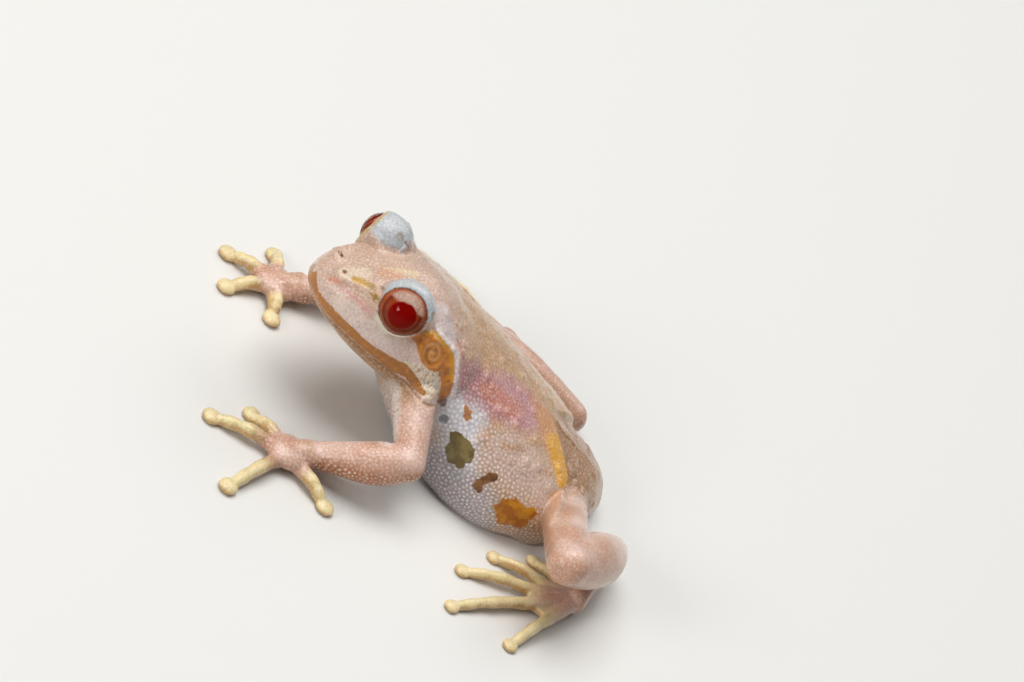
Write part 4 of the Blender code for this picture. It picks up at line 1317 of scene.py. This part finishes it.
class Shading:
    """Short ways to add the nodes of one material."""

    def __init__(self, name):
        self.material = bpy.data.materials.new(name)
        self.material.use_nodes = True
        self.tree = self.material.node_tree
        self.shader = self.tree.nodes["Principled BSDF"]

    def node(self, kind, inputs=(), **values):
        return node(self.tree, kind, inputs, **values)

    def field(self, name, output="Fac"):
        return self.node("ShaderNodeAttribute", attribute_name=name).outputs[output]

    def calc(self, operation, *values):
        return self.node("ShaderNodeMath", dict(enumerate(values)), operation=operation).outputs[0]

    def rise(self, value, low, high, bottom=0.0, top=1.0):
        return self.node(
            "ShaderNodeMapRange", {0: value, 1: low, 2: high, 3: bottom, 4: top},
            interpolation_type="SMOOTHSTEP",
        ).outputs[0]

    def mix(self, amount, under, over, how="MIX"):
        return self.node(
            "ShaderNodeMix", {0: amount, 6: opaque(under), 7: opaque(over)}, data_type="RGBA",
            blend_type=how,
        ).outputs[2]

    def grain(self, vector, size, detail=2.0):
        return self.node(
            "ShaderNodeTexNoise", {"Vector": vector, "Scale": 1 / size, "Detail": detail},
        ).outputs["Fac"]

    def link(self, value, name):
        self.tree.links.new(value, self.shader.inputs[name])

    def set(self, values):
        for name, value in values.items():
            self.shader.inputs[name].default_value = value


def skin_material(palette):
    # Moist granular frog skin: soft light from below the surface, a wet gleam on each granule.
    make = Shading("moist granular frog skin")
    calc, rise, mix, field = make.calc, make.rise, make.mix, make.field
    place = make.node("ShaderNodeTexCoord").outputs["Object"]
    mm = make.node("ShaderNodeVectorMath", {0: place, "Scale": 1 / MM}, operation="SCALE").outputs[0]
    wobble = make.grain(mm, 0.9)
    speckle = make.grain(mm, 0.22)
    fine = make.grain(mm, 0.10, 3.0)
    ragged = calc("MULTIPLY", calc("SUBTRACT", make.grain(mm, 0.35), 0.5), 0.55)
    granule, pearls, tone = field("granule"), field("pearls"), field("tone")
    digits = field("digits")

    # The granules: a pale head on each, and painted shade in the skin between them.
    body = field("tint", "Color")
    head = rise(granule, 0.50, 0.98)
    # Painted shade in the hollows between the granules, strongest where they stand out most.
    gap = rise(granule, 0.05, 0.65, 1.0, 0.0)
    gap_shade = calc("MULTIPLY", gap, calc("MULTIPLY", pearls, 0.32))
    body = mix(gap_shade, body, "#A88C80", "MULTIPLY")
    bright = calc("MULTIPLY", calc("MULTIPLY", head, pearls), rise(tone, 0.0, 1.0, 0.25, 0.75))
    body = mix(bright, body, "#F2ECEA")
    body = mix(rise(speckle, 0.48, 0.70, 0.0, 0.30), body, "#F0DCCB")
    body = mix(rise(speckle, 0.30, 0.44, 0.28, 0.0), body, "#A8684E")

    amber = mix(rise(make.grain(mm, 0.5), 0.40, 0.70), palette.mask, "#A05A0A")
    bright_edge = rise(calc("ADD", field("mask_edge"), ragged), 0.10, 0.60, 1.0, 0.0)
    mask_colour = mix(bright_edge, amber, palette.bright_mark)
    # Painted highlight: paler spiral lines of light over the amber of the ear drum.
    mask_colour = mix(calc("MULTIPLY", field("ear_highlight"), 0.55), mask_colour, "#D6A864")
    stripe = mix(rise(make.grain(mm, 0.3), 0.52, 0.72), palette.mark, "#B87420")

    def lay(under, over, name, soft=0.06, uneven=0.6, strength=1.0):
        away = calc("ADD", field(name), calc("MULTIPLY", ragged, uneven))
        return mix(rise(away, -soft, soft, strength, 0.0), under, over)

    body = lay(body, stripe, "lip", 0.06, 0.5, 0.95)
    body = lay(body, mask_colour, "mask", 0.08, 0.7, 0.95)
    body = lay(body, "#8A8468", "lid_mark", 0.05, 0.4, 0.8)
    for name, _, dark_code, light_code, soft, uneven, strength in SPOTS:
        spot = mix(rise(wobble, 0.4, 0.6), dark_code, light_code) if light_code else dark_code
        body = lay(body, spot, name, soft, uneven, strength)
    # Painted shade: deep brown in the openings of the nostrils.
    body = mix(rise(field("nostril"), 0.13, 0.20, 0.95, 0.0), body, "#7A3C12")

    make.link(body, "Base Color")
    make.link(calc("ADD", calc("MULTIPLY", fine, 0.20), 0.30), "Roughness")
    make.link(rise(digits, 0.0, 1.0, 0.25, 0.6), "Subsurface Weight")
    make.link(calc("MULTIPLY", calc("ADD", fine, calc("MULTIPLY", speckle, 0.8)), 1.0), "Coat Weight")
    make.set({
        "Subsurface Radius": (1.0, 0.45, 0.25), "Subsurface Scale": 0.4 * MM, "IOR": 1.42,
        "Coat Roughness": 0.20, "Coat IOR": 1.34,
    })
    relief = calc("ADD", calc("MULTIPLY", fine, 0.35), calc("MULTIPLY", speckle, 0.8))
    bump = make.node(
        "ShaderNodeBump", {"Height": relief, "Distance": 0.05 * MM, "Strength": 0.8},
    ).outputs[0]
    make.link(bump, "Normal")
    make.link(bump, "Coat Normal")
    return make.material


def iris_material(palette, ring):
    # The iris under the clear front: red brown rings, a pale upper part that is partly the iris's own
    # tan and partly a painted reflection of light, and a deep red pupil.
    make = Shading("red iris")
    calc, rise, mix = make.calc, make.rise, make.mix
    place = make.field("eye_place", "Vector")
    axes = make.node("ShaderNodeSeparateXYZ", {0: place}).outputs

    def length(across, along):
        return calc("SQRT", calc("ADD", calc("POWER", across, 2.0), calc("POWER", along, 2.0)))

    out = length(axes[0], axes[1])
    turned = make.node("ShaderNodeVectorRotate", {"Vector": place, "Angle": PUPIL_TURN}).outputs[0]
    turned_axes = make.node("ShaderNodeSeparateXYZ", {0: turned}).outputs
    oval = length(*(
        calc("DIVIDE", calc("SUBTRACT", turned_axes[i], PUPIL_MIDDLE[i]), PUPIL_AXES[i])
        for i in (0, 1)
    ))
    speckle = rise(make.grain(place, 0.14, 3.0), 0.4, 0.65)
    base = mix(speckle, palette.iris, "#7C3418")
    lower = mix(rise(out, 1.30, 1.58), base, "#561A0A")
    lower = mix(rise(out, 1.58, 1.72), lower, ring)
    lower = mix(rise(out, 1.92, 2.02), lower, "#3A1008")
    # The pale upper crescent: partly the iris's own tan, partly a painted reflection of light.
    slope = calc("ADD", axes[1], calc("MULTIPLY", axes[0], -0.25))
    crescent = calc("MULTIPLY", rise(slope, 0.50, 0.95), rise(out, 1.62, 1.90, 1.0, 0.0))
    upper = mix(speckle, "#9A8478", "#7E5E4C")
    whole = mix(crescent, lower, upper)
    whole = mix(rise(oval, 0.96, 1.05, 1.0, 0.0), whole, palette.pupil)
    make.link(whole, "Base Color")
    make.set({"Roughness": 0.6, "Specular IOR Level": 0.0})
    return make.material


def cornea_material():
    # The clear wet front of the eye.
    make = Shading("clear eye front")
    make.set({
        "Base Color": (1.0, 0.97, 0.95, 1.0), "Transmission Weight": 1.0, "Roughness": 0.02,
        "IOR": 1.2,
    })
    return make.material


def floor_material(palette):
    # Matt painted studio board.
    make = Shading("studio board")
    make.set({"Base Color": opaque(palette.floor), "Roughness": 0.8})
    return make.material


# Pieces.

def add_mesh(name, points, faces):
    mesh = bpy.data.meshes.new(name)
    mesh.from_pydata(points, [], faces)
    return add_object(name, mesh)


def globe(name, radius, profile, turn, centre):
    """A ball about its own z axis, whose radius changes with the angle from it, set in its place."""
    sides = EYE_POINTS
    rows = sides // 2
    points = []
    for i in range(1, rows):
        angle = math.pi * i / rows
        reach = radius * profile(angle)
        for j in range(sides):
            spin = math.tau * j / sides
            points.append((
                reach * math.sin(angle) * math.cos(spin), reach * math.sin(angle) * math.sin(spin),
                reach * math.cos(angle),
            ))
    faces = []
    for i in range(rows - 2):
        for j in range(sides):
            k = (j + 1) % sides
            faces.append((i * sides + j, (i + 1) * sides + j, (i + 1) * sides + k, i * sides + k))
    top = len(points)
    points.append((0, 0, radius * profile(0.0)))
    bottom = len(points)
    points.append((0, 0, -radius * profile(math.pi)))
    last = (rows - 2) * sides
    for j in range(sides):
        k = (j + 1) % sides
        faces.append((top, j, k))
        faces.append((bottom, last + k, last + j))
    made = add_mesh(name, points, faces)
    layer = made.data.attributes.new("eye_place", "FLOAT_VECTOR", "POINT")
    layer.data.foreach_set("vector", (np.array(points, np.float32) / MM).ravel())
    made.data.transform(Matrix.Translation(centre) @ turn)
    if turn.determinant() < 0:
        made.data.flip_normals()
    made.data.shade_smooth()
    return made


class FROG_OT_skin(bpy.types.Operator):
    """Fuses, shapes and paints the skin that covers the whole frog"""
    bl_idname = "frog.skin"
    bl_label = "Skin"

    def execute(self, context):
        palette = settings()
        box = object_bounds()
        body = fused_skin(palette.grid * (1))
        dome, number, limbs = sculpt(body, palette)
        fields = Fields(vertices_of(body.data), normals_of(body.data))
        paint(body.data, fields, palette, dome, number, limbs)
        into_box(body.data, frog_shift(), box)
        body.data.shade_smooth()
        body.data.materials.append(skin_material(palette))
        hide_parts(*FLESH)
        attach(body, "root")
        return {"FINISHED"}


def ball_profile(angle):
    """The inner ball is flatter at the front, under the clear part."""
    return 0.965 - 0.09 * max(0.0, math.cos(angle)) ** 4


def front_profile(angle):
    """The clear front bulges a little from the ball."""
    return 0.998 + 0.10 * max(0.0, math.cos(angle)) ** 4


class FROG_OT_eyes(bpy.types.Operator):
    """Sets a patterned iris ball under a clear front in each socket"""
    bl_idname = "frog.eyes"
    bl_label = "Eyes"

    def execute(self, context):
        palette = settings()
        clear = cornea_material()
        for name, sign in SIDES:
            iris = iris_material(palette, IRIS_RINGS[name])
            axis, forward, up = eye_frame(sign)
            turn = Matrix((forward, up, axis)).transposed().to_4x4()
            middle = (eye_middle(sign) + Vector(frog_shift())) * MM
            inner = globe("iris_" + name, palette.eye_radius, ball_profile, turn, middle)
            outer = globe("eye_front_" + name, palette.eye_radius, front_profile, turn, middle)
            outer.visible_shadow = False
            for piece, finish in ((inner, iris), (outer, clear)):
                piece.data.materials.append(finish)
                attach(piece, "root")
            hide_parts("eye_" + name)
        return {"FINISHED"}


def add_softbox(name, spot, target, size, power):
    data = bpy.data.lights.new(name, "AREA")
    data.size = size
    data.energy = power
    lamp = add_object(name, data)
    turn = (spot - target).to_track_quat("Z", "Y").to_matrix().to_4x4()
    lamp.matrix_world = Matrix.Translation(spot) @ turn


class FROG_OT_stage(bpy.types.Operator):
    """Lays the floor and sets the lights and the camera"""
    bl_idname = "frog.stage"
    bl_label = "Floor, lights and camera"

    def execute(self, context):
        palette = settings()
        ways = ((-1, -1), (1, -1), (1, 1), (-1, 1))
        corners = [(x * FLOOR_HALF, y * FLOOR_HALF, FLOOR_LEVEL * MM) for x, y in ways]
        floor = add_mesh("floor", corners, [(0, 1, 2, 3)])
        floor.data.materials.append(floor_material(palette))
        floor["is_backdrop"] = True
        middle = Vector(frog_shift() + np.array(MID_EYE)) * MM
        right, rise = VIEW_SHIFT
        place = middle + SIDE_OUT * CAMERA_DISTANCE + SIDE_RIGHT * right * MM + SIDE_UP * rise * MM
        turn = Matrix((SIDE_RIGHT, SIDE_UP, SIDE_OUT)).transposed().to_4x4()
        camera = add_object("camera", bpy.data.cameras.new("camera"))
        camera.matrix_world = Matrix.Translation(place) @ turn
        camera.data.sensor_width = SENSOR
        camera.data.lens = SENSOR * CAMERA_DISTANCE / (VIEW_WIDTH * MM)
        camera.data.clip_start = 0.01
        context.scene.camera = camera
        for name, spot, size, power in LIGHTS:
            add_softbox(name, middle + spot, middle, size, power)
        world = context.scene.world or bpy.data.worlds.new("studio air")
        context.scene.world = world
        world.use_nodes = True
        air = world.node_tree.nodes["Background"]
        air.inputs["Color"].default_value = opaque(AIR)
        air.inputs["Strength"].default_value = 0.24
        context.scene.view_settings.view_transform = "Standard"
        return {"FINISHED"}


class FROG_PT_panel(bpy.types.Panel):
    bl_label = "Pacific tree frog"
    bl_idname = "FROG_PT_panel"
    bl_space_type = "VIEW_3D"
    bl_region_type = "UI"
    bl_category = "Frog"

    def draw(self, context):
        for name in FrogSettings.__annotations__:
            self.layout.prop(context.scene.frog, name)
        for step in STEPS:
            self.layout.operator(step.bl_idname)


STEPS = (FROG_OT_skin, FROG_OT_eyes, FROG_OT_stage)
CLASSES = (FrogSettings, *STEPS, FROG_PT_panel)


def register():
    for cls in CLASSES:
        bpy.utils.register_class(cls)
    bpy.types.Scene.frog = bpy.props.PointerProperty(type=FrogSettings)


def unregister():
    del bpy.types.Scene.frog
    for cls in reversed(CLASSES):
        bpy.utils.unregister_class(cls)


def main():
    register()
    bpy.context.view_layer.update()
    bpy.ops.frog.skin()
    bpy.ops.frog.eyes()
    bpy.ops.frog.stage()


if __name__ == "__main__":
    main()
